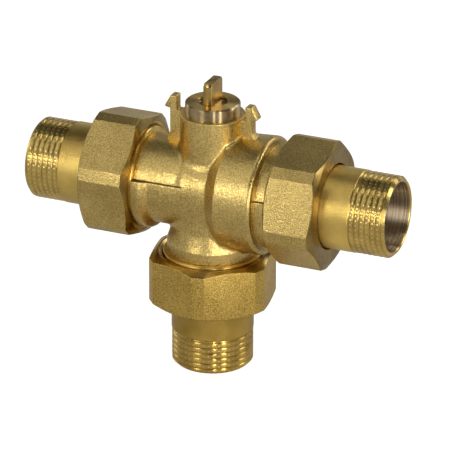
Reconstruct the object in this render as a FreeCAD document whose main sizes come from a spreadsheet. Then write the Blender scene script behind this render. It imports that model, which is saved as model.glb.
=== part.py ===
import FreeCAD, Part
import math
import os
import re

import Sketcher

# Three-way ball valve with union tails, bare of the head that turns it.
# The frame: +X along the run to the right tail, +Z up the spindle, and the origin
# at the middle of the bottom tail's end face, on which the valve stands.

# Driving sizes in millimetres and degrees
SIZES = {
    # body lengths from the crossing of the run and the spindle
    "left_face": 39.2,
    "right_face": 42.5,
    "branch_face": 39.2,
    "neck_height": 31.8,
    "spigot_height": 5.0,
    # ball, its chamber and the walls round them
    "ball_radius": 15.2,
    "ball_port": 9.0,
    "ball_clearance": 0.6,
    "arm_wall": 2.5,
    "retainer_shoulder": 0.8,
    "union_wall": 3.6,
    "barrel_rise": 2.45,
    "barrel_draft": 0.9,
    "barrel_length": 16.5,
    "barrel_round": 1.8,
    "step_length": 5.6,
    "branch_inset": 1.0,
    "branch_straight": 17.5,
    "branch_flare": 1.2,
    "passage_margin": 1.3,
    "passage_run": 4.0,
    # parting ledge on the arms: how deep, and how far round from level
    "ledge_depth": 0.45,
    "ledge_angle": 14.5,
    "ledge_stop": 5.4,
    # neck and spigot
    "spigot_wall": 5.05,
    "spigot_edge": 0.5,
    "neck_ledge": 1.9,
    "neck_draft": 0.5,
    # hooks
    "hook_thickness": 4.6,
    "hook_root": 1.2,
    "hook_gap": 1.9,
    "hook_width": 2.9,
    "hook_barb": 2.5,
    "hook_rise": 5.0,
    "hook_foot": 1.7,
    "hook_foot_drop": 7.8,
    "barb_drop": 0.2,
    "barb_tip_rise": 0.6,
    "hook_flat": 2.7,
    # seats, retainer and seals
    "seat_clearance": 0.3,
    "seat_margin": 0.2,
    "seat_lip": 3.2,
    "seat_back": 3.2,
    "seat_gap": 1.2,
    "seat_play": 0.2,
    "retainer_setback": 1.5,
    "retainer_length": 13.0,
    "retainer_clearance": 0.2,
    "retainer_slot_width": 4.0,
    "retainer_slot_depth": 3.0,
    "ring_section": 0.8,
    "ring_play": 0.1,
    "ring_groove_width": 2.4,
    "retainer_groove_wall": 2.2,
    # stem
    "stem_radius": 5.8,
    "stem_clearance": 0.3,
    "stem_collar_step": 1.6,
    "stem_collar_height": 2.5,
    "stem_collar_play": 0.4,
    "washer_thickness": 0.9,
    "stem_groove_rise": 3.6,
    "stem_groove_pitch": 6.0,
    "tang_thickness": 3.6,
    "tang_height": 9.0,
    "tang_drop": 0.8,
    "tang_edge": 0.9,
    "drive_thickness": 5.8,
    "drive_depth": 3.6,
    "drive_play": 0.2,
    # union: body thread, gasket, tail and nut
    "thread_height": 0.75,
    "thread_clearance": 0.3,
    "thread_edge": 1.0,
    "collar_gap": 0.6,
    "left_collar": 2.9,
    "right_collar": 4.4,
    "branch_collar": 4.2,
    "collar_flare": 2.5,
    "gasket_thickness": 2.0,
    "gasket_inset": 0.2,
    "gasket_bore_step": 0.8,
    "tail_bore": 14.2,
    "tail_wall": 2.6,
    "tail_length": 35.5,
    "tail_thread_length": 14.8,
    "tail_thread_step": 0.18,
    "tail_edge": 1.35,
    "tail_mouth": 0.4,
    "tail_collar_least": 2.0,
    "tail_collar_thickness": 4.0,
    "tail_collar_play": 1.3,
    "nut_wall": 3.5,
    "nut_corner_cut": 3.0,
    "nut_skirt": 11.2,
    "nut_lip": 4.2,
    "nut_hole_play": 0.7,
    "nut_bevel": 25.0,
    "nut_outer_bevel_inset": 0.7,
    "nut_inner_bevel_inset": 1.5,
    "nut_mouth": 0.8,
    "nut_turn_left": -15.3,
    "nut_turn_right": 44.5,
    "nut_turn_bottom": 19.9,
}

# Sizes that follow from the driving ones
FORMULAS = {
    "run_height": "branch_face + gasket_thickness + tail_length",
    "spigot_top": "neck_height + spigot_height",
    "chamber_radius": "ball_radius + ball_clearance",
    "arm_radius": "chamber_radius + arm_wall",
    "retainer_bore": "chamber_radius + retainer_shoulder",
    "tail_radius": "tail_bore + tail_wall",
    # the union has to clear both the retainer's bore and the tail's collar
    "union_radius": "max(retainer_bore + union_wall; "
                    "tail_radius + tail_collar_least + tail_collar_play - thread_clearance)",
    "collar_radius": "union_radius + thread_height",
    "barrel_start_radius": "collar_radius + barrel_rise",
    "barrel_end_radius": "barrel_start_radius + barrel_draft",
    # the bead stays within the barrel's end face
    "bead_radius": "min(barrel_round; (barrel_end_radius - collar_radius) * 0.6)",
    "left_collar_end": "left_face - nut_skirt - collar_gap",
    "right_collar_end": "right_face - nut_skirt - collar_gap",
    "branch_collar_end": "branch_face - nut_skirt - collar_gap",
    "barrel_end": "right_collar_end - right_collar",
    "step_end": "barrel_end - barrel_length",
    "step_start": "step_end - step_length",
    "branch_radius": "arm_radius - branch_inset",
    "stem_bore": "stem_radius + stem_clearance",
    "spigot_radius": "stem_bore + spigot_wall",
    "neck_top_radius": "spigot_radius + neck_ledge",
    "neck_base_radius": "neck_top_radius + neck_draft",
    "hook_inner": "neck_top_radius + hook_gap",
    "hook_outer": "hook_inner + hook_width",
    "hook_foot_level": "neck_height - hook_foot_drop",
    "barb_level": "neck_height - barb_drop",
    "seat_inner": "ball_port + seat_margin",
    "seat_outer": "chamber_radius - seat_gap",
    "seat_pocket": "seat_outer + seat_play",
    # a cone at half a right angle that stays clear of the ball
    "seat_cone": "(ball_radius + seat_clearance) * sqrt(2)",
    "seat_lip_radius": "seat_inner + seat_lip",
    "seat_front": "seat_cone - seat_lip_radius",
    "seat_floor": "seat_cone - seat_inner + seat_back",
    "seat_step": "seat_floor - 2 * ring_section - 3 * ring_play",
    "seat_ring_radius": "seat_outer - ring_section - ring_play",
    "seat_rebate_radius": "seat_outer - 2 * ring_section - 3 * ring_play",
    "passage_radius": "seat_inner + passage_margin",
    "passage_start": "seat_floor + passage_run",
    "passage_end": "passage_start + passage_run",
    "retainer_start": "seat_front + retainer_setback",
    "retainer_end": "retainer_start + retainer_length",
    "retainer_radius": "retainer_bore - retainer_clearance",
    "retainer_groove_start": "seat_floor + retainer_groove_wall",
    "retainer_groove_end": "retainer_groove_start + ring_groove_width",
    "retainer_groove_floor": "retainer_bore - 2 * ring_section - 2 * ring_play",
    "retainer_ring_radius": "retainer_bore - ring_section - ring_play",
    "stem_collar_base": "ball_radius + seat_clearance",
    "stem_collar_top": "stem_collar_base + stem_collar_height",
    "stem_collar_radius": "stem_radius + stem_collar_step",
    "stem_pocket_radius": "stem_collar_radius + stem_collar_play",
    "flat_reach": "stem_collar_radius + drive_play",
    "washer_top": "stem_collar_top + washer_thickness",
    "lower_groove_start": "washer_top + stem_groove_rise",
    "lower_groove_end": "lower_groove_start + ring_groove_width",
    "upper_groove_start": "lower_groove_start + stem_groove_pitch",
    "upper_groove_end": "upper_groove_start + ring_groove_width",
    "stem_groove_floor": "stem_bore - 2 * ring_section - 2 * ring_play",
    "stem_ring_radius": "stem_bore - ring_section - ring_play",
    "tang_base": "spigot_top - tang_drop",
    "tang_top": "spigot_top + tang_height",
    "drive_floor": "stem_collar_base - drive_depth",
    "slot_floor": "drive_floor - drive_play",
    "slot_half": "drive_thickness / 2 + drive_play",
    "nut_bore": "union_radius + thread_clearance",
    "nut_flat": "nut_bore + nut_wall",
    "nut_lip_face": "gasket_thickness + tail_collar_thickness",
    "nut_end": "nut_lip_face + nut_lip",
    "nut_hole": "tail_radius + nut_hole_play",
    "nut_reach": "nut_flat * 2 / sqrt(3)",
    "nut_outer_face": "nut_flat - nut_outer_bevel_inset",
    "nut_inner_face": "nut_flat - nut_inner_bevel_inset",
    "tail_collar_radius": "nut_bore - tail_collar_play",
    "tail_end": "gasket_thickness + tail_length",
    "tail_thread_start": "tail_end - tail_thread_length",
    "tail_thread_radius": "tail_radius - tail_thread_step",
    "gasket_outer": "tail_collar_radius - gasket_inset",
    "gasket_inner": "tail_bore + gasket_bore_step",
}

doc = FreeCAD.newDocument("three_way_valve")
sheet = doc.addObject("Spreadsheet::Sheet", "sizes")
for row, (word, number) in enumerate(SIZES.items(), start=1):
    sheet.set(f"A{row}", word)
    sheet.set(f"B{row}", str(number))
    sheet.setAlias(f"B{row}", word)
doc.recompute()

subparts = []


def spelled(text, prefix=""):
    """Write a formula out in driving sizes, with the prefix before each."""

    def swap(match):
        word = match.group(0)
        if word in FORMULAS:
            return "(" + spelled(FORMULAS[word], prefix) + ")"
        return prefix + word if word in SIZES else word

    return re.sub(r"[a-z][a-z_]*", swap, text)


def value(text):
    """Number that a formula gives now."""
    return float(sheet.evalExpression(spelled(text)))


def bind(thing, path, text):
    """Tie one property or constraint of a document object to the sheet."""
    thing.setExpression(path, spelled(text, "sizes."))


def new_body(label):
    """Empty body for one sub-part."""
    body = doc.addObject("PartDesign::Body", label)
    body.Label = label
    subparts.append(body)
    return body


def origin_feature(body, role):
    """Axis or plane of a body's own origin."""
    return [f for f in body.Origin.OriginFeatures if f.Role == role][0]


def new_sketch(body, name, plane):
    """Sketch on one of the body's own planes."""
    sketch = body.newObject("Sketcher::SketchObject", name)
    sketch.AttachmentSupport = [(origin_feature(body, plane), "")]
    sketch.MapMode = "FlatFace"
    return sketch


def outline(body, name, plane, *loops):
    """Sketch of straight-sided closed loops whose corners are tied to the sheet."""
    sketch = new_sketch(body, name, plane)
    for loop in loops:
        first = sketch.GeometryCount
        places = [FreeCAD.Vector(value(x), value(y), 0) for x, y in loop]
        ends = places[1:] + places[:1]
        sketch.addGeometry([Part.LineSegment(a, b) for a, b in zip(places, ends)], False)
        rules = []
        formulas = []
        for i, (x, y) in enumerate(loop):
            line = first + i
            following = first + (i + 1) % len(loop)
            rules.append(Sketcher.Constraint("Coincident", line, 2, following, 1))
            rules.append(Sketcher.Constraint("DistanceX", -1, 1, line, 1, places[i].x))
            rules.append(Sketcher.Constraint("DistanceY", -1, 1, line, 1, places[i].y))
            formulas += [None, x, y]
        for number, text in zip(sketch.addConstraint(rules), formulas):
            if text:
                bind(sketch, f"Constraints[{number}]", text)
    return sketch


def circle(body, name, plane, radius):
    """Sketch of one circle about the body's origin."""
    sketch = new_sketch(body, name, plane)
    middle = FreeCAD.Vector(0, 0, 0)
    sketch.addGeometry(Part.Circle(middle, FreeCAD.Vector(0, 0, 1), value(radius)), False)
    sketch.addConstraint(Sketcher.Constraint("Coincident", 0, 3, -1, 1))
    number = sketch.addConstraint(Sketcher.Constraint("Radius", 0, value(radius)))
    bind(sketch, f"Constraints[{number}]", radius)
    return sketch


def checked(feature, before, grows):
    """Recompute a feature and see that it added or removed material."""
    doc.recompute()
    after = feature.Shape.Volume
    if (after > before) != grows or math.isclose(after, before):
        raise RuntimeError(f"{feature.Name} changed {before:.1f} to {after:.1f} mm3")
    return feature


def volume(body):
    """Volume of a body so far."""
    return body.Shape.Volume if body.Tip else 0.0


def turned(body, name, loop, axis="V_Axis", cut=False, sweep="360"):
    """Turn a loop in the XZ plane about one of its axes, or cut that shape away."""
    before = volume(body)
    sketch = outline(body, name + "_outline", "XZ_Plane", loop)
    feature = body.newObject("PartDesign::Groove" if cut else "PartDesign::Revolution", name)
    feature.Profile = sketch
    feature.ReferenceAxis = (sketch, [axis])
    feature.Midplane = True
    bind(feature, "Angle", sweep)
    return checked(feature, before, not cut)


def pocket(body, name, sketch, length="", reverse=False):
    """Cut a sketch through the body, or by a length to one side."""
    before = volume(body)
    feature = body.newObject("PartDesign::Pocket", name)
    feature.Profile = sketch
    if length:
        feature.Type = "Length"
        bind(feature, "Length", length)
        feature.Reversed = reverse
    else:
        feature.Type = "ThroughAll"
        feature.SideType = "Symmetric"
    return checked(feature, before, False)


def box_loop(low_x, low_y, high_x, high_y):
    """Corners of an upright rectangle."""
    return [(low_x, low_y), (high_x, low_y), (high_x, high_y), (low_x, high_y)]


def edges_where(feature, test):
    """Names of a feature's edges that pass a test."""
    edges = feature.Shape.Edges
    return [f"Edge{i}" for i, edge in enumerate(edges, start=1) if test(edge)]


def radius_about_x(point):
    """Distance of a point from the run axis."""
    return math.hypot(point.y, point.z)


def along(edge, count=5):
    """Points spaced along an edge."""
    return edge.discretize(Number=count)


def rounded(body, name, feature, test, radius):
    """Fillet the edges of a feature that pass a test."""
    edges = edges_where(feature, test)
    if not edges:
        raise RuntimeError(f"{name} found no edge")
    fillet = body.newObject("PartDesign::Fillet", name)
    fillet.Base = (feature, edges)
    bind(fillet, "Radius", radius)
    doc.recompute()
    return fillet


def ring_edge(x, radius):
    """Test for a circle about the run at one place and radius."""
    place = value(x)
    size = value(radius)

    def test(edge):
        points = along(edge)
        level = all(abs(p.x - place) < 0.01 for p in points)
        return level and all(abs(radius_about_x(p) - size) < 0.01 for p in points)

    return test


def arm_blank(body):
    """Run of the forging: left arm, step, barrel and both collars, turned about X."""
    blank = turned(body, "run", [
        ("-left_face", "0"),
        ("-left_face", "union_radius - thread_edge"),
        ("-left_face + thread_edge", "union_radius"),
        ("-left_collar_end", "union_radius"),
        ("-left_collar_end", "collar_radius"),
        ("-left_collar_end + left_collar", "collar_radius"),
        ("-left_collar_end + left_collar + collar_flare", "arm_radius"),
        ("step_start", "arm_radius"),
        ("step_end", "barrel_start_radius"),
        ("barrel_end", "barrel_end_radius"),
        ("barrel_end", "collar_radius"),
        ("right_collar_end", "collar_radius"),
        ("right_collar_end", "union_radius"),
        ("right_face - thread_edge", "union_radius"),
        ("right_face", "union_radius - thread_edge"),
        ("right_face", "0"),
    ], axis="H_Axis")
    rounded(body, "barrel_bead", blank, ring_edge("barrel_end", "barrel_end_radius"),
            "bead_radius")
    for name, start, end, radius in (
            ("left_ledge", "-left_collar_end", "-ledge_stop", "arm_radius"),
            ("right_ledge", "barrel_end", "right_collar_end", "collar_radius")):
        turned(body, name,
               box_loop(start, radius + " - ledge_depth", end, radius + " + nut_wall"),
               axis="H_Axis", cut=True, sweep="180 - 2 * ledge_angle")


def column_blank(body):
    """Neck, spigot and bottom branch, turned about the spindle axis."""
    flare_radius = "branch_radius + branch_flare"
    turned(body, "column", [
        ("0", "spigot_top"),
        ("spigot_radius - spigot_edge", "spigot_top"),
        ("spigot_radius", "spigot_top - spigot_edge"),
        ("spigot_radius", "neck_height"),
        ("neck_top_radius", "neck_height"),
        ("neck_base_radius", "0"),
        ("branch_radius", "0"),
        ("branch_radius", "-branch_straight"),
        (flare_radius, "-branch_collar_end + branch_collar"),
        (flare_radius, "-branch_collar_end"),
        ("union_radius", "-branch_collar_end"),
        ("union_radius", "-branch_face + thread_edge"),
        ("union_radius - thread_edge", "-branch_face"),
        ("0", "-branch_face"),
    ])


def hooks(body):
    """Pair of barbed plates that the head clips over, on a web from the neck."""
    before = volume(body)
    web = "neck_top_radius - hook_root"
    foot = "hook_outer + hook_foot"
    tip = "hook_outer + hook_barb"
    top = "barb_level + barb_tip_rise + hook_rise"
    sketch = outline(body, "hook_outline", "XZ_Plane", [
        (web, "chamber_radius + hook_root"),
        (foot, "chamber_radius + hook_root"),
        (foot, "hook_foot_level"),
        ("hook_outer", "hook_foot_level + hook_foot"),
        ("hook_outer", "barb_level"),
        (tip, "barb_level + barb_tip_rise"),
        ("hook_inner + hook_flat", top),
        ("hook_inner", top),
        ("hook_inner", "neck_height - hook_root / 2"),
        (web, "neck_height - hook_root / 2"),
    ])
    plate = body.newObject("PartDesign::Pad", "hook_plate")
    plate.Profile = sketch
    plate.SideType = "Symmetric"
    bind(plate, "Length", "hook_thickness")
    checked(plate, before, True)
    pair = body.newObject("PartDesign::Mirrored", "hook_pair")
    pair.Originals = [plate]
    pair.MirrorPlane = (origin_feature(body, "YZ_Plane"), [""])
    body.Tip = pair
    return checked(pair, plate.Shape.Volume, True)


def valve_body():
    """Forged body with its ports, chamber and stem bore cut in it."""
    body = new_body("valve_body")
    arm_blank(body)
    column_blank(body)
    hooks(body)
    turned(body, "run_bore", [
        ("-left_face", "0"),
        ("-left_face", "tail_bore"),
        ("-passage_end", "tail_bore"),
        ("-passage_start", "passage_radius"),
        ("-seat_floor", "passage_radius"),
        ("-seat_floor", "seat_pocket"),
        ("-seat_front", "seat_pocket"),
        ("-seat_front", "chamber_radius"),
        ("retainer_start", "chamber_radius"),
        ("retainer_start", "retainer_bore"),
        ("right_face", "retainer_bore"),
        ("right_face", "0"),
    ], axis="H_Axis", cut=True)
    turned(body, "column_bore", [
        ("0", "spigot_top"),
        ("stem_bore", "spigot_top"),
        ("stem_bore", "washer_top"),
        ("stem_pocket_radius", "washer_top"),
        ("stem_pocket_radius", "0"),
        ("passage_radius", "0"),
        ("passage_radius", "-passage_start"),
        ("tail_bore", "-passage_end"),
        ("tail_bore", "-branch_face"),
        ("0", "-branch_face"),
    ], cut=True)
    bind(body, "Placement.Base.z", "run_height")


def ball():
    """Ball with a bottom port and two side ports a quarter turn apart, slotted for the stem."""
    body = new_body("ball")
    sphere = body.newObject("PartDesign::AdditiveSphere", "sphere")
    bind(sphere, "Radius", "ball_radius")
    checked(sphere, 0.0, True)
    bores = (("right_port", "YZ_Plane", True), ("back_port", "XZ_Plane", False),
             ("bottom_port", "XY_Plane", False))
    for name, plane, reverse in bores:
        sketch = circle(body, name + "_outline", plane, "ball_port")
        pocket(body, name, sketch, "ball_radius + ball_clearance", reverse)
    slot = outline(body, "slot_outline", "YZ_Plane",
                   box_loop("-slot_half", "slot_floor", "slot_half", "ball_radius + drive_play"))
    pocket(body, "slot", slot)
    bind(body, "Placement.Base.z", "run_height")


def side_loops(half, low, high):
    """Rectangles beside a flat of one half thickness, out past the stem's collar."""
    return [box_loop(half, low, "flat_reach", high), box_loop("-flat_reach", low, "-" + half, high)]


def stem():
    """Turned stem with a collar, two seal grooves, a drive for the ball and a flatted top."""
    body = new_body("stem")
    turned(body, "shaft", [
        ("0", "drive_floor"),
        ("stem_radius", "drive_floor"),
        ("stem_radius", "stem_collar_base"),
        ("stem_collar_radius", "stem_collar_base"),
        ("stem_collar_radius", "stem_collar_top"),
        ("stem_radius", "stem_collar_top"),
        ("stem_radius", "lower_groove_start"),
        ("stem_groove_floor", "lower_groove_start"),
        ("stem_groove_floor", "lower_groove_end"),
        ("stem_radius", "lower_groove_end"),
        ("stem_radius", "upper_groove_start"),
        ("stem_groove_floor", "upper_groove_start"),
        ("stem_groove_floor", "upper_groove_end"),
        ("stem_radius", "upper_groove_end"),
        ("stem_radius", "tang_top - tang_edge"),
        ("stem_radius - tang_edge / 2", "tang_top"),
        ("0", "tang_top"),
    ])
    sides = outline(body, "drive_outline", "YZ_Plane",
                    *side_loops("drive_thickness / 2", "drive_floor - drive_play", "stem_collar_base"))
    pocket(body, "drive_flats", sides)
    flats = outline(body, "tang_outline", "XZ_Plane",
                    *side_loops("tang_thickness / 2", "tang_base", "tang_top + tang_edge"))
    pocket(body, "tang_flats", flats)
    bind(body, "Placement.Base.z", "run_height")


def seat(label, turn):
    """Ball seat with a cone for the ball and a rebate for its ring; made for the left side."""
    body = new_body(label)
    turned(body, "ring", [
        ("-seat_floor", "seat_inner"),
        ("-seat_floor", "seat_rebate_radius"),
        ("-seat_step", "seat_rebate_radius"),
        ("-seat_step", "seat_outer"),
        ("-seat_front", "seat_outer"),
        ("-seat_front", "seat_lip_radius"),
        ("seat_inner - seat_cone", "seat_inner"),
    ], axis="H_Axis")
    body.Placement.Rotation = FreeCAD.Rotation(FreeCAD.Vector(0, 0, 1), turn)
    bind(body, "Placement.Base.z", "run_height")


def o_ring(label, radius, x="0", z="0", about_run=False):
    """Seal ring about the spindle, or about the run, at one place along it."""
    torus = doc.addObject("Part::Torus", label)
    torus.Label = label
    bind(torus, "Radius1", radius)
    bind(torus, "Radius2", "ring_section")
    if about_run:
        torus.Placement.Rotation = FreeCAD.Rotation(FreeCAD.Vector(0, 1, 0), 90)
    bind(torus, "Placement.Base.x", x)
    bind(torus, "Placement.Base.z", "run_height + " + z)
    subparts.append(torus)


def seat_retainer():
    """Screwed ring that holds the right seat, with a seal groove and two driver slots."""
    body = new_body("seat_retainer")
    turned(body, "ring", [
        ("retainer_start", "seat_pocket"),
        ("retainer_start", "retainer_radius"),
        ("retainer_groove_start", "retainer_radius"),
        ("retainer_groove_start", "retainer_groove_floor"),
        ("retainer_groove_end", "retainer_groove_floor"),
        ("retainer_groove_end", "retainer_radius"),
        ("retainer_end", "retainer_radius"),
        ("retainer_end", "passage_radius"),
        ("seat_floor", "passage_radius"),
        ("seat_floor", "seat_pocket"),
    ], axis="H_Axis")
    slots = outline(body, "slot_outline", "XZ_Plane",
                    box_loop("retainer_end - retainer_slot_depth", "-retainer_slot_width / 2",
                             "retainer_end + retainer_clearance", "retainer_slot_width / 2"))
    pocket(body, "driver_slots", slots)
    bind(body, "Placement.Base.z", "run_height")


def stem_thrust_washer():
    """Flat washer between the stem's collar and the body."""
    body = new_body("stem_thrust_washer")
    turned(body, "washer", box_loop("stem_bore", "stem_collar_top", "stem_collar_radius",
                                    "washer_top"))
    bind(body, "Placement.Base.z", "run_height")


def place_union(thing, side):
    """Set a piece made along Z from the body's end face at one of the three ports."""
    direction, face, turn_axis, turn = UNIONS[side]
    thing.Placement.Rotation = FreeCAD.Rotation(FreeCAD.Vector(*turn_axis), turn)
    bind(thing, "Placement.Base.x", f"{direction[0]} * {face}")
    bind(thing, "Placement.Base.z", f"run_height + {direction[1]} * {face}")


def gasket(side):
    """Flat gasket between the body's end and the tail's collar."""
    body = new_body("gasket_" + side)
    turned(body, "ring", box_loop("gasket_inner", "0", "gasket_outer", "gasket_thickness"))
    place_union(body, side)


def tail(side):
    """Union tail: a collar held by the nut, a plain length and a threaded end."""
    body = new_body("tail_" + side)
    turned(body, "tube", [
        ("tail_bore", "gasket_thickness"),
        ("tail_collar_radius", "gasket_thickness"),
        ("tail_collar_radius", "nut_lip_face"),
        ("tail_radius", "nut_lip_face"),
        ("tail_radius", "tail_thread_start"),
        ("tail_thread_radius", "tail_thread_start"),
        ("tail_thread_radius", "tail_end - tail_edge"),
        ("tail_thread_radius - tail_edge", "tail_end"),
        ("tail_bore + tail_mouth", "tail_end"),
        ("tail_bore", "tail_end - tail_mouth"),
    ])
    place_union(body, side)


def nut(side):
    """Union nut: a hexagon with cut corners, bevelled ends, a threaded bore and a lip."""
    body = new_body("nut_" + side)
    turn = "nut_turn_" + side
    corners = [(f"nut_reach * cos({turn} + {60 * i})", f"nut_reach * sin({turn} + {60 * i})")
               for i in range(6)]
    sketch = outline(body, "hexagon", "XY_Plane", corners)
    blank = body.newObject("PartDesign::Pad", "blank")
    blank.Profile = sketch
    blank.SideType = "Two sides"
    bind(blank, "Length", "nut_end")
    bind(blank, "Length2", "nut_skirt")
    checked(blank, 0.0, True)
    upright = edges_where(blank, lambda edge: abs(edge.tangentAt(edge.FirstParameter).z) > 0.99)
    cut = body.newObject("PartDesign::Chamfer", "corner_flats")
    cut.Base = (blank, upright)
    bind(cut, "Size", "nut_corner_cut")
    checked(cut, blank.Shape.Volume, False)
    for name, face, level, sign in (("outer_bevel", "nut_outer_face", "nut_end", "-"),
                                    ("inner_bevel", "nut_inner_face", "-nut_skirt", "+")):
        turned(body, name, [
            (face, level),
            ("nut_reach", level),
            ("nut_reach", f"{level} {sign} (nut_reach - {face}) * tan(nut_bevel)"),
        ], cut=True)
    turned(body, "bore", [
        ("0", "-nut_skirt"),
        ("nut_bore + nut_mouth", "-nut_skirt"),
        ("nut_bore", "-nut_skirt + nut_mouth"),
        ("nut_bore", "nut_lip_face"),
        ("nut_hole", "nut_lip_face"),
        ("nut_hole", "nut_end"),
        ("0", "nut_end"),
    ], cut=True)
    place_union(body, side)


# Port directions as X and Z signs, the body face, and the turn that lays Z outward
UNIONS = {
    "left": ((-1, 0), "left_face", (0, 1, 0), -90),
    "right": ((1, 0), "right_face", (0, 1, 0), 90),
    "bottom": ((0, -1), "branch_face", (1, 0, 0), 180),
}

valve_body()
ball()
stem()
seat("seat_left", 0)
seat("seat_right", 180)
seat_retainer()
stem_thrust_washer()
o_ring("seat_left_o_ring", "seat_ring_radius", "-seat_floor + ring_section + ring_play",
       about_run=True)
o_ring("seat_right_o_ring", "seat_ring_radius", "seat_floor - ring_section - ring_play",
       about_run=True)
o_ring("retainer_o_ring", "retainer_ring_radius",
       "retainer_groove_start + ring_groove_width / 2", about_run=True)
o_ring("stem_o_ring_lower", "stem_ring_radius", z="lower_groove_start + ring_groove_width / 2")
o_ring("stem_o_ring_upper", "stem_ring_radius", z="upper_groove_start + ring_groove_width / 2")
for port in UNIONS:
    gasket(port)
    tail(port)
    nut(port)
doc.recompute()

# Nothing is written until every object is sound
for thing in doc.Objects:
    faults = {"Invalid", "Error"} & set(thing.State)
    if faults:
        raise RuntimeError(f"{thing.Label} is {faults}")
for part in subparts:
    if part.Shape.isNull() or not part.Shape.isValid():
        raise RuntimeError(f"{part.Label} has no sound shape")

os.makedirs("parts", exist_ok=True)
for part in subparts:
    part.Shape.exportStep(os.path.join("parts", part.Label + ".step"))
    print(part.Label, len(part.Shape.Solids), round(part.Shape.Volume, 1))
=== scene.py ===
"""Looks of a forged brass three-way valve with union tails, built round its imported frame.

Pieces are worked out in millimetres from the crossing of the run and the spindle, and become
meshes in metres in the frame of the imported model.
"""
import logging
import math
from dataclasses import dataclass, field
from enum import Enum
from typing import Any, Callable, Sequence

import bmesh
import bpy
import numpy as np
from mathutils import Matrix, Vector


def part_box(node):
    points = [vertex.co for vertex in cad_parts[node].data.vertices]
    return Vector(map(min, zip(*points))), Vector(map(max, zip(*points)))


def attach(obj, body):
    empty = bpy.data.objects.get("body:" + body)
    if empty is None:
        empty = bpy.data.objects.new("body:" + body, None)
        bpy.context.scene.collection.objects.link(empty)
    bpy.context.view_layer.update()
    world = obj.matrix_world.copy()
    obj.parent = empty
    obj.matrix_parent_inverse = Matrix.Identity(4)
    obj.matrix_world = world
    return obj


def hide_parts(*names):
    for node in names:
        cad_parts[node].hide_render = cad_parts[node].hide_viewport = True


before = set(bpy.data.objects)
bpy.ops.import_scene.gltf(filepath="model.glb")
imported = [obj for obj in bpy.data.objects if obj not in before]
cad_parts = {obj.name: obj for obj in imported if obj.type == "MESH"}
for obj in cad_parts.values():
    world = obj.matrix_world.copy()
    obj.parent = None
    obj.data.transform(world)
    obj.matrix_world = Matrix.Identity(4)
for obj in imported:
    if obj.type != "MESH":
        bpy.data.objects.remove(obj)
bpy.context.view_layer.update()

MM = 0.001
FULL_TURN = 2.0 * math.pi
LINE_ATTRIBUTE = "tool_line"
DENT_ATTRIBUTE = "struck_dent"
ROOT_SHADE_ATTRIBUTE = "thread_root_shade"
TINY = 1e-9
HEX_SIDES = 6
HEX_STEP = 60.0
HEX_HALF = math.radians(30.0)
log = logging.getLogger("valve")

Size = float | np.ndarray
Colour = tuple[float, float, float]
Outline = list[tuple[float, float]]
Material = bpy.types.Material
Mesh = bpy.types.Mesh
Socket = bpy.types.NodeSocket


class Port(Enum):
    """The three ways out of the body."""

    LEFT = "left"
    RIGHT = "right"
    BOTTOM = "bottom"


class Body(Enum):
    """Moving bodies of the frame that are not named after a port."""

    VALVE = "valve"
    SPINDLE = "spindle"


class Slot(Enum):
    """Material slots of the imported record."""

    FORGED = "forged_brass"
    NUT = "nut_brass"
    TURNED = "turned_brass"


class Turn(Enum):
    """Axis that a piece was turned about."""

    RUN = "X"
    SPINDLE = "Z"


class Cut(Enum):
    """How finely a turned face was cut."""

    BRIGHT = "bright"
    FACED = "faced"
    CRISP = "crisp"
    MIRROR = "mirror"
    SATIN = "satin"
    THREAD = "thread"
    BORE = "bore"


class Ease(float, Enum):
    """Lengths over which turned corners are rounded, in millimetres."""

    KEEN = 0.1
    CRISP = 0.12
    SMALL = 0.15
    PLAIN = 0.2
    SOFT = 0.25
    BROAD = 0.3
    LIP = 0.4


def node_box(node: str) -> tuple[np.ndarray, np.ndarray]:
    """Lowest and highest corner of a node in millimetres."""
    low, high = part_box(node)
    return np.array(low) / MM, np.array(high) / MM


def run_height() -> float:
    """Height of the run's axis over the floor in millimetres."""
    low, high = node_box("tail_left")
    return float(low[2] + high[2]) / 2.0


def crossing() -> np.ndarray:
    """Place where the run and the spindle cross, in millimetres."""
    return np.array([0.0, 0.0, run_height()])


@dataclass(frozen=True)
class Axes:
    """A place to turn things about: an origin, two cross directions and the axis itself."""

    origin: tuple[float, float, float]
    across: tuple[float, float, float]
    aside: tuple[float, float, float]
    along: tuple[float, float, float]

    def place(self, radius: np.ndarray, angle: np.ndarray, along: np.ndarray) -> np.ndarray:
        """Turn radius, angle and length along the axis into points.

        Args:
            radius: Distances from the axis.
            angle: Angles from the first cross direction towards the second.
            along: Lengths along the axis from the origin.

        Returns:
            Points in the frame of the crossing, in millimetres.
        """
        out = np.array(self.origin, float)
        out = out + (radius * np.cos(angle))[..., None] * np.array(self.across)
        out = out + (radius * np.sin(angle))[..., None] * np.array(self.aside)
        return out + along[..., None] * np.array(self.along)


SPINDLE_AXES = Axes((0, 0, 0), (1, 0, 0), (0, 1, 0), (0, 0, 1))


def port_axes(port: Port) -> Axes:
    """Axes of a union, from the body's end face outward.

    Args:
        port: The way out of the body.

    Returns:
        Axes whose length runs away from the body.
    """
    low, high = node_box("gasket_" + port.value)
    if port is Port.LEFT:
        return Axes((float(high[0]), 0, 0), (0, 0, 1), (0, 1, 0), (-1, 0, 0))
    if port is Port.RIGHT:
        return Axes((float(low[0]), 0, 0), (0, 0, -1), (0, 1, 0), (1, 0, 0))
    return Axes((0, 0, float(high[2]) - run_height()), (1, 0, 0), (0, -1, 0), (0, 0, -1))


def smooth_min(first: np.ndarray, second: np.ndarray, width: float) -> np.ndarray:
    """Lesser of two fields, with the crease between them rounded over a width."""
    near = np.maximum(width - np.abs(first - second), 0.0) / width
    return np.minimum(first, second) - near * near * width / 4.0


def smooth_max(first: np.ndarray, second: np.ndarray, width: float) -> np.ndarray:
    """Greater of two fields, with the crease between them rounded over a width."""
    return -smooth_min(-first, -second, width)


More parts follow.
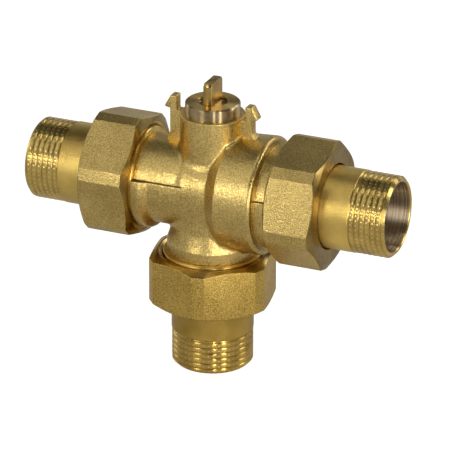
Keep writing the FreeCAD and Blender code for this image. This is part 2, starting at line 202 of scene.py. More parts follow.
def smooth_step(low: float, high: float, field_values: np.ndarray) -> np.ndarray:
    """Soft switch from 0 at one value to 1 at another."""
    share = np.clip((field_values - low) / (high - low), 0.0, 1.0)
    return share * share * (3.0 - 2.0 * share)


def link(name: str, data: bpy.types.ID) -> bpy.types.Object:
    """Put a new object in the scene.

    Args:
        name: Name of the object.
        data: Its mesh, lamp or camera.

    Returns:
        The new object.
    """
    made = bpy.data.objects.new(name, data)
    bpy.context.scene.collection.objects.link(made)
    return made


def add_piece(mesh: Mesh, body: str, slot: Slot, *materials: Material) -> bpy.types.Object:
    """Dress a mesh and put it in the scene as a piece that rides on a body.

    Args:
        mesh: The mesh in metres, under the piece's name.
        body: The moving body it rides on.
        slot: The record's slot; not used.
        materials: Its finishes, in the order of their numbers.

    Returns:
        The new object.
    """
    for material in materials:
        mesh.materials.append(material)
    piece = link(mesh.name, mesh)
    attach(piece, body)
    log.info("%s rides on %s with %d faces", piece.name, body, len(mesh.polygons))
    return piece


def store(mesh: Mesh, name: str, values: np.ndarray) -> None:
    """Keep one value for each corner of a mesh under a name."""
    layer = mesh.attributes.new(name, "FLOAT", "POINT")
    layer.data.foreach_set("value", values.astype(np.float32))


def shade_mesh(mesh: Mesh, sharp: float | None) -> None:
    """Shade a mesh smooth but for its sharp edges.

    Args:
        mesh: The mesh.
        sharp: Angle in degrees past which an edge stays sharp, or none for a soft skin.
    """
    mesh.polygons.foreach_set("use_smooth", np.ones(len(mesh.polygons), dtype=bool))
    if sharp is not None:
        mesh.set_sharp_from_angle(angle=math.radians(sharp))


def finish_mesh(name: str, points: np.ndarray, quads: np.ndarray, finishes: np.ndarray,
                lines: np.ndarray | None = None, sharp: float | None = 40.0) -> Mesh:
    """Make a mesh of quads, move it up to the run and shade it.

    Args:
        name: Name of the mesh.
        points: Corners in millimetres from the crossing.
        quads: Four corner numbers a face; a repeated last one makes a triangle.
        finishes: Number of each face's material.
        lines: Length along the turned profile at each corner, in millimetres.
        sharp: Angle in degrees past which an edge stays sharp, or none for a soft skin.

    Returns:
        The mesh in metres.
    """
    mesh = bpy.data.meshes.new(name)
    lifted = (points + crossing()) * MM
    faces = [tuple(q[:3]) if q[3] == q[2] else tuple(q) for q in quads.tolist()]
    mesh.from_pydata(lifted.tolist(), [], faces)
    if lines is not None:
        store(mesh, LINE_ATTRIBUTE, lines * MM)
    mesh.polygons.foreach_set("material_index", finishes.astype(np.int32))
    work = bmesh.new()
    work.from_mesh(mesh)
    bmesh.ops.recalc_face_normals(work, faces=work.faces)
    work.to_mesh(mesh)
    work.free()
    shade_mesh(mesh, sharp)
    mesh.update()
    return mesh


@dataclass(frozen=True)
class Corner:
    """A corner of a turned outline, and the finish of the face that leads to it."""

    radius: Size
    along: Size
    ease: float = 0.0
    finish: int = 0


@dataclass
class Turning:
    """A solid made of rings about an axis, each ring a corner of its outline."""

    axes: Axes
    angles: np.ndarray
    corners: list[Corner] = field(default_factory=list)
    ease_steps: int = 3
    most_ease: float = 0.48

    def add(self, *corners: Corner) -> None:
        """Add corners to the end of the outline."""
        self.corners.extend(corners)

    def _spread(self, size: Size) -> np.ndarray:
        """One value for each angle."""
        return np.broadcast_to(np.asarray(size, float), self.angles.shape)

    def _eased(self, here: np.ndarray, there: np.ndarray, ease: float) -> np.ndarray:
        """Find where the rounding of a corner meets one of its sides.

        Args:
            here: The corner.
            there: The corner at the side's other end.
            ease: Length of the side that the rounding takes.

        Returns:
            The places on the side.
        """
        way = there - here
        length = np.linalg.norm(way, axis=-1, keepdims=True)
        return here + way * np.minimum(ease / np.maximum(length, TINY), self.most_ease)

    def rings(self, closed: bool) -> tuple[np.ndarray, np.ndarray, np.ndarray]:
        """Work the corners out into rings, with eased corners as short curves.

        Args:
            closed: Whether the outline runs back to its first corner.

        Returns:
            Radii, lengths and finishes, with one row for each ring.
        """
        spots = [np.stack([self._spread(c.radius), self._spread(c.along)], -1) for c in self.corners]
        rows: list[np.ndarray] = []
        finishes: list[int] = []
        last = len(spots) - 1
        for i, corner in enumerate(self.corners):
            here = spots[i]
            if corner.ease == 0.0 or (not closed and i in (0, last)):
                rows.append(here)
                finishes.append(corner.finish)
                continue
            start = self._eased(here, spots[i - 1], corner.ease)
            end = self._eased(here, spots[(i + 1) % len(spots)], corner.ease)
            for step in range(self.ease_steps + 1):
                t = step / self.ease_steps
                rows.append((1 - t) ** 2 * start + 2 * t * (1 - t) * here + t ** 2 * end)
                finishes.append(corner.finish)
        grid = np.stack(rows)
        return grid[..., 0], grid[..., 1], np.array(finishes)

    def mesh(self, name: str, closed: bool = True) -> Mesh:
        """Join the rings into a mesh.

        Args:
            name: Name of the mesh.
            closed: True for a ring-shaped solid, false for one that ends on the axis.

        Returns:
            The mesh in metres.
        """
        radius, along, finish = self.rings(closed)
        count, columns = radius.shape
        points = self.axes.place(radius, self.angles[None, :], along).reshape(-1, 3)
        steps = np.hypot(np.diff(radius, axis=0), np.diff(along, axis=0)).mean(axis=1)
        lines = np.repeat(np.concatenate([[0.0], np.cumsum(steps)]), columns)
        ring = np.arange(columns)
        after = (ring + 1) % columns
        quads: list[np.ndarray] = []
        finishes: list[np.ndarray] = []
        for i in range(1, count + 1 if closed else count):
            here, there = (i - 1) * columns, (i % count) * columns
            quads.append(np.stack([here + ring, here + after, there + after, there + ring], 1))
            finishes.append(np.full(columns, finish[i % count]))
        if not closed:
            for start, row in ((0, 0), ((count - 1) * columns, count - 1)):
                pole = len(points)
                middle = self.axes.place(np.zeros(1), np.zeros(1), along[row].mean(keepdims=True))
                points = np.concatenate([points, middle])
                lines = np.concatenate([lines, lines[start:start + 1] + radius[row].mean()])
                centre = np.full(columns, pole)
                quads.append(np.stack([start + ring, start + after, centre, centre], 1))
                finishes.append(np.full(columns, finish[row]))
        return finish_mesh(name, points, np.concatenate(quads), np.concatenate(finishes), lines)


def even_angles(count: int) -> np.ndarray:
    """Angles evenly round a full turn."""
    return np.arange(count) * FULL_TURN / count


def distinct_angles(angles: list[float], gap: float) -> np.ndarray:
    """Put angles in order round a full turn and drop those that nearly repeat.

    Args:
        angles: The angles.
        gap: Least space between two that are kept.

    Returns:
        The angles that are left.
    """
    around = np.sort(np.mod(np.array(angles), FULL_TURN))
    return around[np.concatenate([[True], np.diff(around) > gap])]


@dataclass(frozen=True)
class ThreadForm:
    """A right-hand screw thread with rounded ridges and narrow roots."""

    pitch: float = 2.309
    depth: float = 1.3
    fullness: float = 0.7

    def height(self, along: Size, angle: np.ndarray) -> np.ndarray:
        """Share of the depth at a place on the thread.

        Args:
            along: Length along the axis.
            angle: Angle round the axis.

        Returns:
            0 at the root and 1 at the crest.
        """
        phase = np.mod(along / self.pitch - angle / FULL_TURN, 1.0)
        return np.sin(math.pi * phase) ** self.fullness


class NodeBoard:
    """A node tree with short ways to add nodes and wire them."""

    def __init__(self, tree: bpy.types.NodeTree) -> None:
        """Take over a tree and clear it."""
        self.tree = tree
        tree.nodes.clear()

    def add(self, kind: str, settings: dict[str, Any] | None = None,
            inputs: dict[str | int, Any] | None = None) -> bpy.types.Node:
        """Add a node.

        Args:
            kind: Type name of the node.
            settings: Properties of the node itself.
            inputs: Values of its sockets, or sockets that feed them.

        Returns:
            The node.
        """
        node = self.tree.nodes.new(kind)
        for key, setting in (settings or {}).items():
            setattr(node, key, setting)
        for key, feed in (inputs or {}).items():
            if isinstance(feed, Socket):
                self.tree.links.new(feed, node.inputs[key])
            else:
                node.inputs[key].default_value = feed
        return node

    def noise(self, vector: Socket, size: float, detail: float = 2.0,
              roughness: float = 0.5) -> Socket:
        """Noise whose lumps have a size in millimetres.

        Args:
            vector: Coordinates in metres.
            size: Size of a lump.
            detail: Octaves of finer lumps.
            roughness: Strength of the finer lumps.

        Returns:
            The noise value.
        """
        node = self.add("ShaderNodeTexNoise", {"noise_dimensions": "3D"}, {
            "Vector": vector, "Scale": 1.0 / (size * MM), "Detail": detail, "Roughness": roughness})
        return node.outputs["Fac"]

    def math(self, operation: str, *feeds: Any) -> Socket:
        """One sum of two or three values."""
        node = self.add("ShaderNodeMath", {"operation": operation}, dict(enumerate(feeds)))
        return node.outputs[0]

    def between(self, value: Socket, low: float, high: float,
                start: float = 0.3, end: float = 0.7) -> Socket:
        """Spread a value over a range.

        Args:
            value: The value.
            low: Result at the start.
            high: Result at the end.
            start: Value at which the range starts.
            end: Value at which it ends.

        Returns:
            The result.
        """
        node = self.add("ShaderNodeMapRange", None, {
            "Value": value, "From Min": start, "From Max": end, "To Min": low, "To Max": high})
        return node.outputs["Result"]

    def ramp(self, value: Socket, stops: Sequence[tuple[float, Colour]]) -> Socket:
        """Colours along a value.

        Args:
            value: The value to read the ramp at.
            stops: Places and colours.

        Returns:
            The colour.
        """
        node = self.add("ShaderNodeValToRGB", None, {"Fac": value})
        band = node.color_ramp.elements
        while len(band) < len(stops):
            band.new(0.5)
        for element, (place, colour) in zip(band, stops):
            element.position = place
            element.color = (*colour, 1.0)
        return node.outputs["Color"]

    def bump(self, height: Socket, depth: float, normal: Socket | None = None) -> Socket:
        """Bump of a depth in millimetres, over another if one is given.

        Args:
            height: The height to read, from 0 to 1.
            depth: Depth that a height of 1 stands for.
            normal: The other bump.

        Returns:
            The bent normal.
        """
        inputs: dict[str | int, Any] = {"Height": height, "Distance": depth * MM, "Strength": 1.0}
        if normal is not None:
            inputs["Normal"] = normal
        return self.add("ShaderNodeBump", None, inputs).outputs["Normal"]

    def where(self) -> Socket:
        """Coordinates on the piece in metres."""
        return self.add("ShaderNodeTexCoord").outputs["Object"]

    def attribute(self, name: str) -> Socket:
        """Value that the mesh keeps under a name."""
        return self.add("ShaderNodeAttribute", {"attribute_name": name}).outputs["Fac"]

    def tint(self, share: Socket, colour: Socket, tint: Colour) -> Socket:
        """Colour moved towards a tint by a share."""
        feeds = {0: share, 6: colour, 7: (*tint, 1.0)}
        return self.add("ShaderNodeMix", {"data_type": "RGBA"}, feeds).outputs[2]

    def surface(self, shader: Socket) -> None:
        """Wire a shader to the output."""
        self.add("ShaderNodeOutputMaterial", None, {"Surface": shader})

    def principled(self, inputs: dict[str | int, Any]) -> None:
        """Wire a principled shader with these inputs to the output."""
        self.surface(self.add("ShaderNodeBsdfPrincipled", None, inputs).outputs["BSDF"])


def new_material(name: str) -> tuple[Material, NodeBoard]:
    """Start a material.

    Args:
        name: Name of the material.

    Returns:
        The material, and an empty board for its nodes.
    """
    material = bpy.data.materials.new(name)
    material.use_nodes = True
    return material, NodeBoard(material.node_tree)


@dataclass(frozen=True)
class PartingLine:
    """Crease on each side of the run where the two halves of the forging die met, bumped in and darkened
    with painted shade.
    """

    run: float
    angle: float
    left_end: float
    right_start: float
    inner: float = 16.4
    width: float = 0.5
    fade: float = 1.5
    dark_share: float = 0.35
    soft_share: float = 0.75

    def mask(self, board: NodeBoard, where: Socket) -> Socket:
        """Find the crease.

        Args:
            board: The tree to add nodes to.
            where: Coordinates in metres.

        Returns:
            A value that is 1 in the crease and 0 away from it.
        """
        angle = math.radians(self.angle)
        axes = board.add("ShaderNodeSeparateXYZ", None, {0: where}).outputs
        aside = board.math("ABSOLUTE", axes["Y"])
        level = board.math("SUBTRACT", axes["Z"], self.run * MM)
        upward = board.math("MULTIPLY", level, math.cos(angle))
        above = board.math("MULTIPLY_ADD", aside, -math.sin(angle), upward)
        width = self.width * MM
        off = board.math("ABSOLUTE", board.math("SUBTRACT", above, self.width / 2.0 * MM))
        line = board.between(off, 1.0, 0.0, self.dark_share * width, self.soft_share * width)
        left = board.between(axes["X"], 1.0, 0.0, (self.left_end - self.fade) * MM, self.left_end * MM)
        right = board.between(axes["X"], 0.0, 1.0, self.right_start * MM,
                              (self.right_start + self.width) * MM)
        outside = board.between(aside, 0.0, 1.0, self.inner * MM, (self.inner + self.width) * MM)
        along = board.math("MULTIPLY", board.math("ADD", left, right), outside)
        return board.math("MULTIPLY", line, along)


@dataclass(frozen=True)
class ForgedBrass:
    """Hot-forged brass, shot-blasted to an even grain."""

    name: str
    parting: PartingLine | None = None
    # Colour of the painted shade in the parting crease.
    crease_shade_colour: Colour = (0.20, 0.125, 0.04)
    crease_depth: float = 0.15
    dark: Colour = (0.48, 0.33, 0.10)
    light: Colour = (0.84, 0.63, 0.225)
    grain: float = 0.58
    grain_depth: float = 0.12
    wave: float = 2.2
    wave_depth: float = 0.10
    blotch: float = 16.0
    blotch_share: float = 0.3
    grain_share: float = 0.7
    dark_stop: float = 0.36
    light_stop: float = 0.62
    roughness: tuple[float, float] = (0.28, 0.38)

    def material(self) -> Material:
        """Build the material.

        Returns:
            The material.
        """
        material, board = new_material(self.name)
        where = board.where()
        grain = board.noise(where, self.grain, detail=1.0)
        wave = board.noise(where, self.wave, detail=2.0)
        blotch = board.noise(where, self.blotch, detail=3.0)
        shade = board.math("MULTIPLY", grain, self.grain_share)
        shade = board.math("MULTIPLY_ADD", blotch, self.blotch_share, shade)
        normal = board.bump(grain, self.grain_depth, board.bump(wave, self.wave_depth))
        colour = board.ramp(shade, [(self.dark_stop, self.dark), (self.light_stop, self.light)])
        if self.parting:
            crease = self.parting.mask(board, where)
            normal = board.bump(board.math("SUBTRACT", 1.0, crease), self.crease_depth, normal)
            # Darken the crease with painted shade.
            colour = board.tint(crease, colour, self.crease_shade_colour)
        board.principled({
            "Base Color": colour,
            "Roughness": board.between(wave, *self.roughness),
            "Metallic": 1.0, "Normal": normal})
        return material


@dataclass(frozen=True)
class TurnedBrass:
    """Brass cut on a lathe, with fine lines where the tool went round."""

    name: str
    turn: Turn
    dark: Colour = (0.60, 0.40, 0.11)
    light: Colour = (0.84, 0.61, 0.18)
    line: float = 0.16
    line_depth: float = 0.006
    roughness: tuple[float, float] = (0.26, 0.34)
    stretch: float = 0.85
    stain: float = 7.0
    line_tint: float = 0.3
    dark_stop: float = 0.36
    light_stop: float = 0.60
    grain_turn: float = 0.25
    grain: float = 0.5
    grain_depth: float = 0.0
    struck: Colour | None = None
    struck_roughness: float = 0.30
    # Colour of the painted shade in the thread's roots.
    root: Colour = (0.16, 0.095, 0.025)
    by_profile: bool = True

    def material(self) -> Material:
        """Build the material.

        Returns:
            The material.
        """
        material, board = new_material(self.name)
        where = board.where()
        if self.by_profile:
            length = board.attribute(LINE_ATTRIBUTE)
        else:
            length = board.add("ShaderNodeSeparateXYZ", None, {0: where}).outputs[self.turn.value]
        lines = board.add("ShaderNodeTexNoise", {"noise_dimensions": "1D"}, {
            "W": length, "Scale": 1.0 / (self.line * MM), "Detail": 2.0}).outputs["Fac"]
        stain = board.noise(where, self.stain, detail=4.0)
        shade = board.math("MULTIPLY", lines, self.line_tint)
        shade = board.math("MULTIPLY_ADD", stain, 1.0 - self.line_tint, shade)
        round_it = board.add("ShaderNodeTangent", {"direction_type": "RADIAL", "axis": self.turn.value})
        normal = board.bump(lines, self.line_depth)
        if self.grain_depth:
            normal = board.bump(board.noise(where, self.grain, detail=1.0), self.grain_depth, normal)
        colour = board.ramp(shade, [(self.dark_stop, self.dark), (self.light_stop, self.light)])
        rough = board.between(stain, *self.roughness)
        if self.struck:
            dent = board.attribute(DENT_ATTRIBUTE)
            # Darken the thread's roots with painted shade.
            colour = board.tint(board.attribute(ROOT_SHADE_ATTRIBUTE), colour, self.root)
            colour = board.tint(dent, colour, self.struck)
            smoother = board.math("SUBTRACT", self.struck_roughness, rough)
            rough = board.math("MULTIPLY_ADD", dent, smoother, rough)
        board.principled({
            "Base Color": colour, "Roughness": rough,
            "Metallic": 1.0, "Anisotropic": self.stretch, "Anisotropic Rotation": self.grain_turn,
            "Tangent": round_it.outputs[0], "Normal": normal})
        return material


@dataclass(frozen=True)
class Chrome:
    """Polished chrome plate with faint rubbing marks."""

    name: str
    colour: Colour = (0.80, 0.81, 0.83)
    smear: float = 3.0
    roughness: tuple[float, float] = (0.05, 0.12)
    scratch: float = 0.25
    scratch_depth: float = 0.001

    def material(self) -> Material:
        """Build the material.

        Returns:
            The material.
        """
        material, board = new_material(self.name)
        where = board.where()
        smear = board.noise(where, self.smear, detail=5.0)
        board.principled({
            "Base Color": (*self.colour, 1.0), "Metallic": 1.0,
            "Roughness": board.between(smear, *self.roughness),
            "Normal": board.bump(board.noise(where, self.scratch), self.scratch_depth)})
        return material


@dataclass(frozen=True)
class Moulded:
    """Rubber or plastic with a fine moulded skin."""

    name: str
    dark: Colour
    light: Colour
    roughness: tuple[float, float]
    grain: float = 0.35
    grain_depth: float = 0.012
    cloud: float = 4.0
    dark_stop: float = 0.35
    light_stop: float = 0.65

    def material(self) -> Material:
        """Build the material.

        Returns:
            The material.
        """
        material, board = new_material(self.name)
        where = board.where()
        cloud = board.noise(where, self.cloud, detail=3.0)
        grain = board.noise(where, self.grain, detail=2.0)
        board.principled({
            "Base Color": board.ramp(cloud, [(self.dark_stop, self.dark), (self.light_stop, self.light)]),
            "Roughness": board.between(cloud, *self.roughness),
            "Normal": board.bump(grain, self.grain_depth)})
        return material


@dataclass
class Finishes:
    """Every finish of the valve, made once."""

    forged: Material
    nut: Material
    low_nut: Material
    lathe: dict[tuple[Cut, Turn], Material]
    retainer: Material
    chrome: Material
    seat: Material
    seal: Material
    gasket: Material

    @classmethod
    def make(cls, parting: PartingLine) -> "Finishes":
        """Build all the materials.

        Args:
            parting: The parting line of the forging.

        Returns:
            The finishes.
        """
        lathe = {}
        for turn in Turn:
            tag = "_" + turn.name.lower()
            upright = turn is Turn.SPINDLE
            # Brass turned about the spindle gets darker colours than brass turned about the run, the run's
            # satin lighter ones and the run's crisp cuts darker ones: painted shade and painted light for
            # how the lamps fall on each, not a different brass.
            dull = (0.48, 0.31, 0.07) if upright else (0.58, 0.385, 0.10)
            sheen = (0.74, 0.50, 0.12) if upright else (0.84, 0.60, 0.165)
            satin = (dull, sheen) if upright else ((0.68, 0.455, 0.12), (0.97, 0.70, 0.195))
            crisp = (((0.38, 0.25, 0.08), (0.60, 0.42, 0.14)) if upright
                     else ((0.28, 0.19, 0.06), (0.44, 0.31, 0.10)))
            cuts = {
                Cut.BRIGHT: TurnedBrass("bright_brass" + tag, turn),
                # Faced ends are darker than the other brass: painted shade for the dim surround that the
                # nuts' ends mirror.
                Cut.FACED: TurnedBrass(
                    "faced_brass" + tag, turn, (0.25, 0.165, 0.05), (0.42, 0.29, 0.09),
                    roughness=(0.26, 0.32), stretch=0.7),
                # Crisp cuts are darker than the bright ones: painted shade for the dim reflections on the
                # stem's flats and the nuts' bevels.
                Cut.CRISP: TurnedBrass(
                    "crisp_brass" + tag, turn, *crisp, roughness=(0.20, 0.26), stretch=0.8),
                # The polished ring is darker than the other brass: painted shade for the dim surround it
                # mirrors.
                Cut.MIRROR: TurnedBrass(
                    "mirror_brass" + tag, turn, (0.30, 0.20, 0.09), (0.66, 0.52, 0.30),
                    line_depth=0.002, roughness=(0.30, 0.34), stretch=1.0),
                Cut.THREAD: TurnedBrass(
                    "thread_brass" + tag, turn, dull, sheen, line_depth=0.002,
                    roughness=(0.26, 0.30), stretch=0.94, struck=(1.0, 0.88, 0.58)),
                Cut.SATIN: TurnedBrass(
                    "satin_brass" + tag, turn, *satin, line=0.3, line_depth=0.003,
                    roughness=(0.30, 0.34), stretch=0.25, stain=18.0, line_tint=0.12,
                    grain=0.32, grain_depth=0.11),
                # The bore's greyer, paler colours are painted light for the reflections inside it.
                Cut.BORE: TurnedBrass(
                    "bored_brass" + tag, turn, (0.36, 0.25, 0.14), (0.82, 0.69, 0.50), line=0.6,
                    line_depth=0.05, roughness=(0.30, 0.36), stretch=0.95, stain=20.0, line_tint=0.7)}
            lathe.update({(cut, turn): finish.material() for cut, finish in cuts.items()})
        return cls(
            forged=ForgedBrass("blasted_forging", parting).material(),
            nut=ForgedBrass("blasted_nut", grain=0.52, grain_depth=0.18, wave_depth=0.05).material(),
            # The bottom nut's deeper, higher-contrast colours are painted light and shade for how the lamps
            # fall on it; its deeper grain is real.
            low_nut=ForgedBrass(
                "blasted_low_nut", dark=(0.47, 0.29, 0.06), light=(0.88, 0.615, 0.165),
                grain=0.52, grain_depth=0.20, wave_depth=0.05).material(),
            lathe=lathe,
            retainer=TurnedBrass("retainer_brass", Turn.RUN, by_profile=False).material(),
            chrome=Chrome("chrome_ball").material(),
            seat=Moulded(
                "white_seat_plastic", (0.82, 0.82, 0.78), (0.90, 0.90, 0.87), (0.38, 0.5)).material(),
            seal=Moulded(
                "black_seal_rubber", (0.012, 0.012, 0.012), (0.03, 0.03, 0.03), (0.35, 0.5)).material(),
            gasket=Moulded(
                "black_gasket_rubber", (0.02, 0.02, 0.02), (0.05, 0.05, 0.05), (0.6, 0.8),
                grain=0.6, grain_depth=0.03).material())

    def cuts(self, turn: Turn, *kinds: Cut) -> list[Material]:
        """Lathe finishes of some cuts, for a piece turned about an axis."""
        return [self.lathe[(kind, turn)] for kind in kinds]


def polygon_distance(points: np.ndarray, corners: np.ndarray) -> np.ndarray:
    """Distance of points in a plane from a closed outline.

    Args:
        points: Places, one a row.
        corners: Corners of the outline in order.

    Returns:
        Distances, less than zero inside.
    """
    best = np.full(len(points), np.inf)
    inside = np.zeros(len(points), dtype=bool)
    for start, end in zip(corners, np.roll(corners, -1, axis=0)):
        edge = end - start
        offset = points - start
        share = np.clip(offset @ edge / (edge @ edge), 0.0, 1.0)
        gap = offset - share[:, None] * edge
        best = np.minimum(best, np.einsum("ij,ij->i", gap, gap))
        crosses = (start[1] > points[:, 1]) != (end[1] > points[:, 1])
        if start[1] != end[1]:
            meets = start[0] + (points[:, 1] - start[1]) * edge[0] / edge[1]
            inside ^= crosses & (points[:, 0] < meets)
    return np.where(inside, -1.0, 1.0) * np.sqrt(best)


def turned_distance(along: np.ndarray, radius: np.ndarray, outline: Sequence[tuple[float, float]],
                    core: float = -60.0) -> np.ndarray:
    """Distance from a solid turned about an axis.

    Args:
        along: Lengths along the axis.
        radius: Distances from the axis.
        outline: Length and radius of each corner of the outline, from one end to the other.
        core: A radius past the axis at which the outline closes.

    Returns:
        Distances, less than zero inside.
    """
    corners = [(outline[0][0], core), *outline, (outline[-1][0], core)]
    return polygon_distance(np.stack([along, radius], 1), np.array(corners))


def grid_lines(low: float, high: float, step: float,
               fine: Sequence[tuple[float, float, float]] = ()) -> np.ndarray:
    """Places of the grid's planes along one axis, closer together over some lengths.

    Args:
        low: First place.
        high: Last place.
        step: Usual space between planes.
        fine: Start, end and space of each length that needs closer planes.

    Returns:
        The places in order.
    """
    places = np.arange(low, high + step, step)
    for start, end, space in fine:
        places = np.concatenate([places[(places < start - space) | (places > end + space)],
                                 np.arange(start, end + space / 2.0, space)])
    return np.sort(places)


@dataclass
class SurfaceNet:
    """Even skin of quads over the zero of a distance field."""

    distance: Callable[[np.ndarray], np.ndarray]
    lines: list[np.ndarray]
    step: float
    settle: int = 3
    normal_reach: float = 0.7
    settle_reach: float = 0.08
    least_slope: float = 0.25
    most_move: float = 0.5

    def build(self) -> tuple[np.ndarray, np.ndarray]:
        """Find the skin.

        Returns:
            Points, and quads as corner numbers.
        """
        shape = tuple(len(line) for line in self.lines)
        grid = np.stack(np.meshgrid(*self.lines, indexing="ij"), -1).reshape(-1, 3)
        values = self.distance(grid).reshape(shape)
        solid = values < 0.0
        cells = tuple(n - 1 for n in shape)
        total = np.zeros((*cells, 3))
        count = np.zeros(cells)
        offsets = [(i, j, k) for i in (0, 1) for j in (0, 1) for k in (0, 1)]

        def corner(offset: tuple[int, int, int]) -> tuple[slice, ...]:
            """Part of the grid that holds one corner of every cell."""
            return tuple(slice(o, o + n) for o, n in zip(offset, cells))

        for a in offsets:
            for axis in range(3):
                if a[axis] == 1:
                    continue
                b = tuple(1 if i == axis else o for i, o in enumerate(a))
                first, second = values[corner(a)], values[corner(b)]
                cut = (first < 0.0) != (second < 0.0)
                share = np.where(cut, first / np.where(cut, first - second, 1.0), 0.0)
                for i in range(3):
                    place = a[i] + (share if i == axis else 0.0)
                    total[..., i] += np.where(cut, place, 0.0)
                count += cut
        active = count > 0
        index = np.full(cells, -1)
        index[active] = np.arange(active.sum())
        base = np.argwhere(active)
        share = total[active] / count[active][:, None]
        points = np.stack([line[base[:, i]] + share[:, i] * np.diff(line)[base[:, i]]
                           for i, line in enumerate(self.lines)], 1)
        quads = []
        for axis in range(3):
            others = [i for i in range(3) if i != axis]
            head = [slice(None)] * 3
            tail = [slice(None)] * 3
            head[axis], tail[axis] = slice(0, -1), slice(1, None)
            change = solid[tuple(head)] != solid[tuple(tail)]
            spots = np.argwhere(change)
            across = spots[:, others]
            spots = spots[(across > 0).all(1) & (across < np.array(cells)[others]).all(1)]
            ring = []
            for da, db in ((1, 1), (0, 1), (0, 0), (1, 0)):
                cell = spots.copy()
                cell[:, others[0]] -= da
                cell[:, others[1]] -= db
                ring.append(index[tuple(cell.T)])
            quads.append(np.stack(ring, 1))
        return self._settled(points), np.concatenate(quads)

    def _rise(self, points: np.ndarray, reach: float) -> np.ndarray:
        """Rise of the field along each axis, from one side of the points to the other."""
        return np.stack([self.distance(points + reach * axis) - self.distance(points - reach * axis)
                         for axis in np.eye(3)], 1)

    def normals(self, points: np.ndarray) -> np.ndarray:
        """Directions out of the skin, eased over about one cell."""
        slope = self._rise(points, self.step * self.normal_reach)
        return slope / np.maximum(np.linalg.norm(slope, axis=1, keepdims=True), TINY)

    def _settled(self, points: np.ndarray) -> np.ndarray:
        """Move points down the field's slope on to its zero.

        Args:
            points: Points near the skin.

        Returns:
            Points on the skin.
        """
        reach = self.step * self.settle_reach
        most = self.most_move * self.step
        for _ in range(self.settle):
            value = self.distance(points)
            slope = self._rise(points, reach) / (2 * reach)
            size = np.maximum((slope * slope).sum(1), self.least_slope)
            points = points - np.clip(value / size, -most, most)[:, None] * slope
        return points


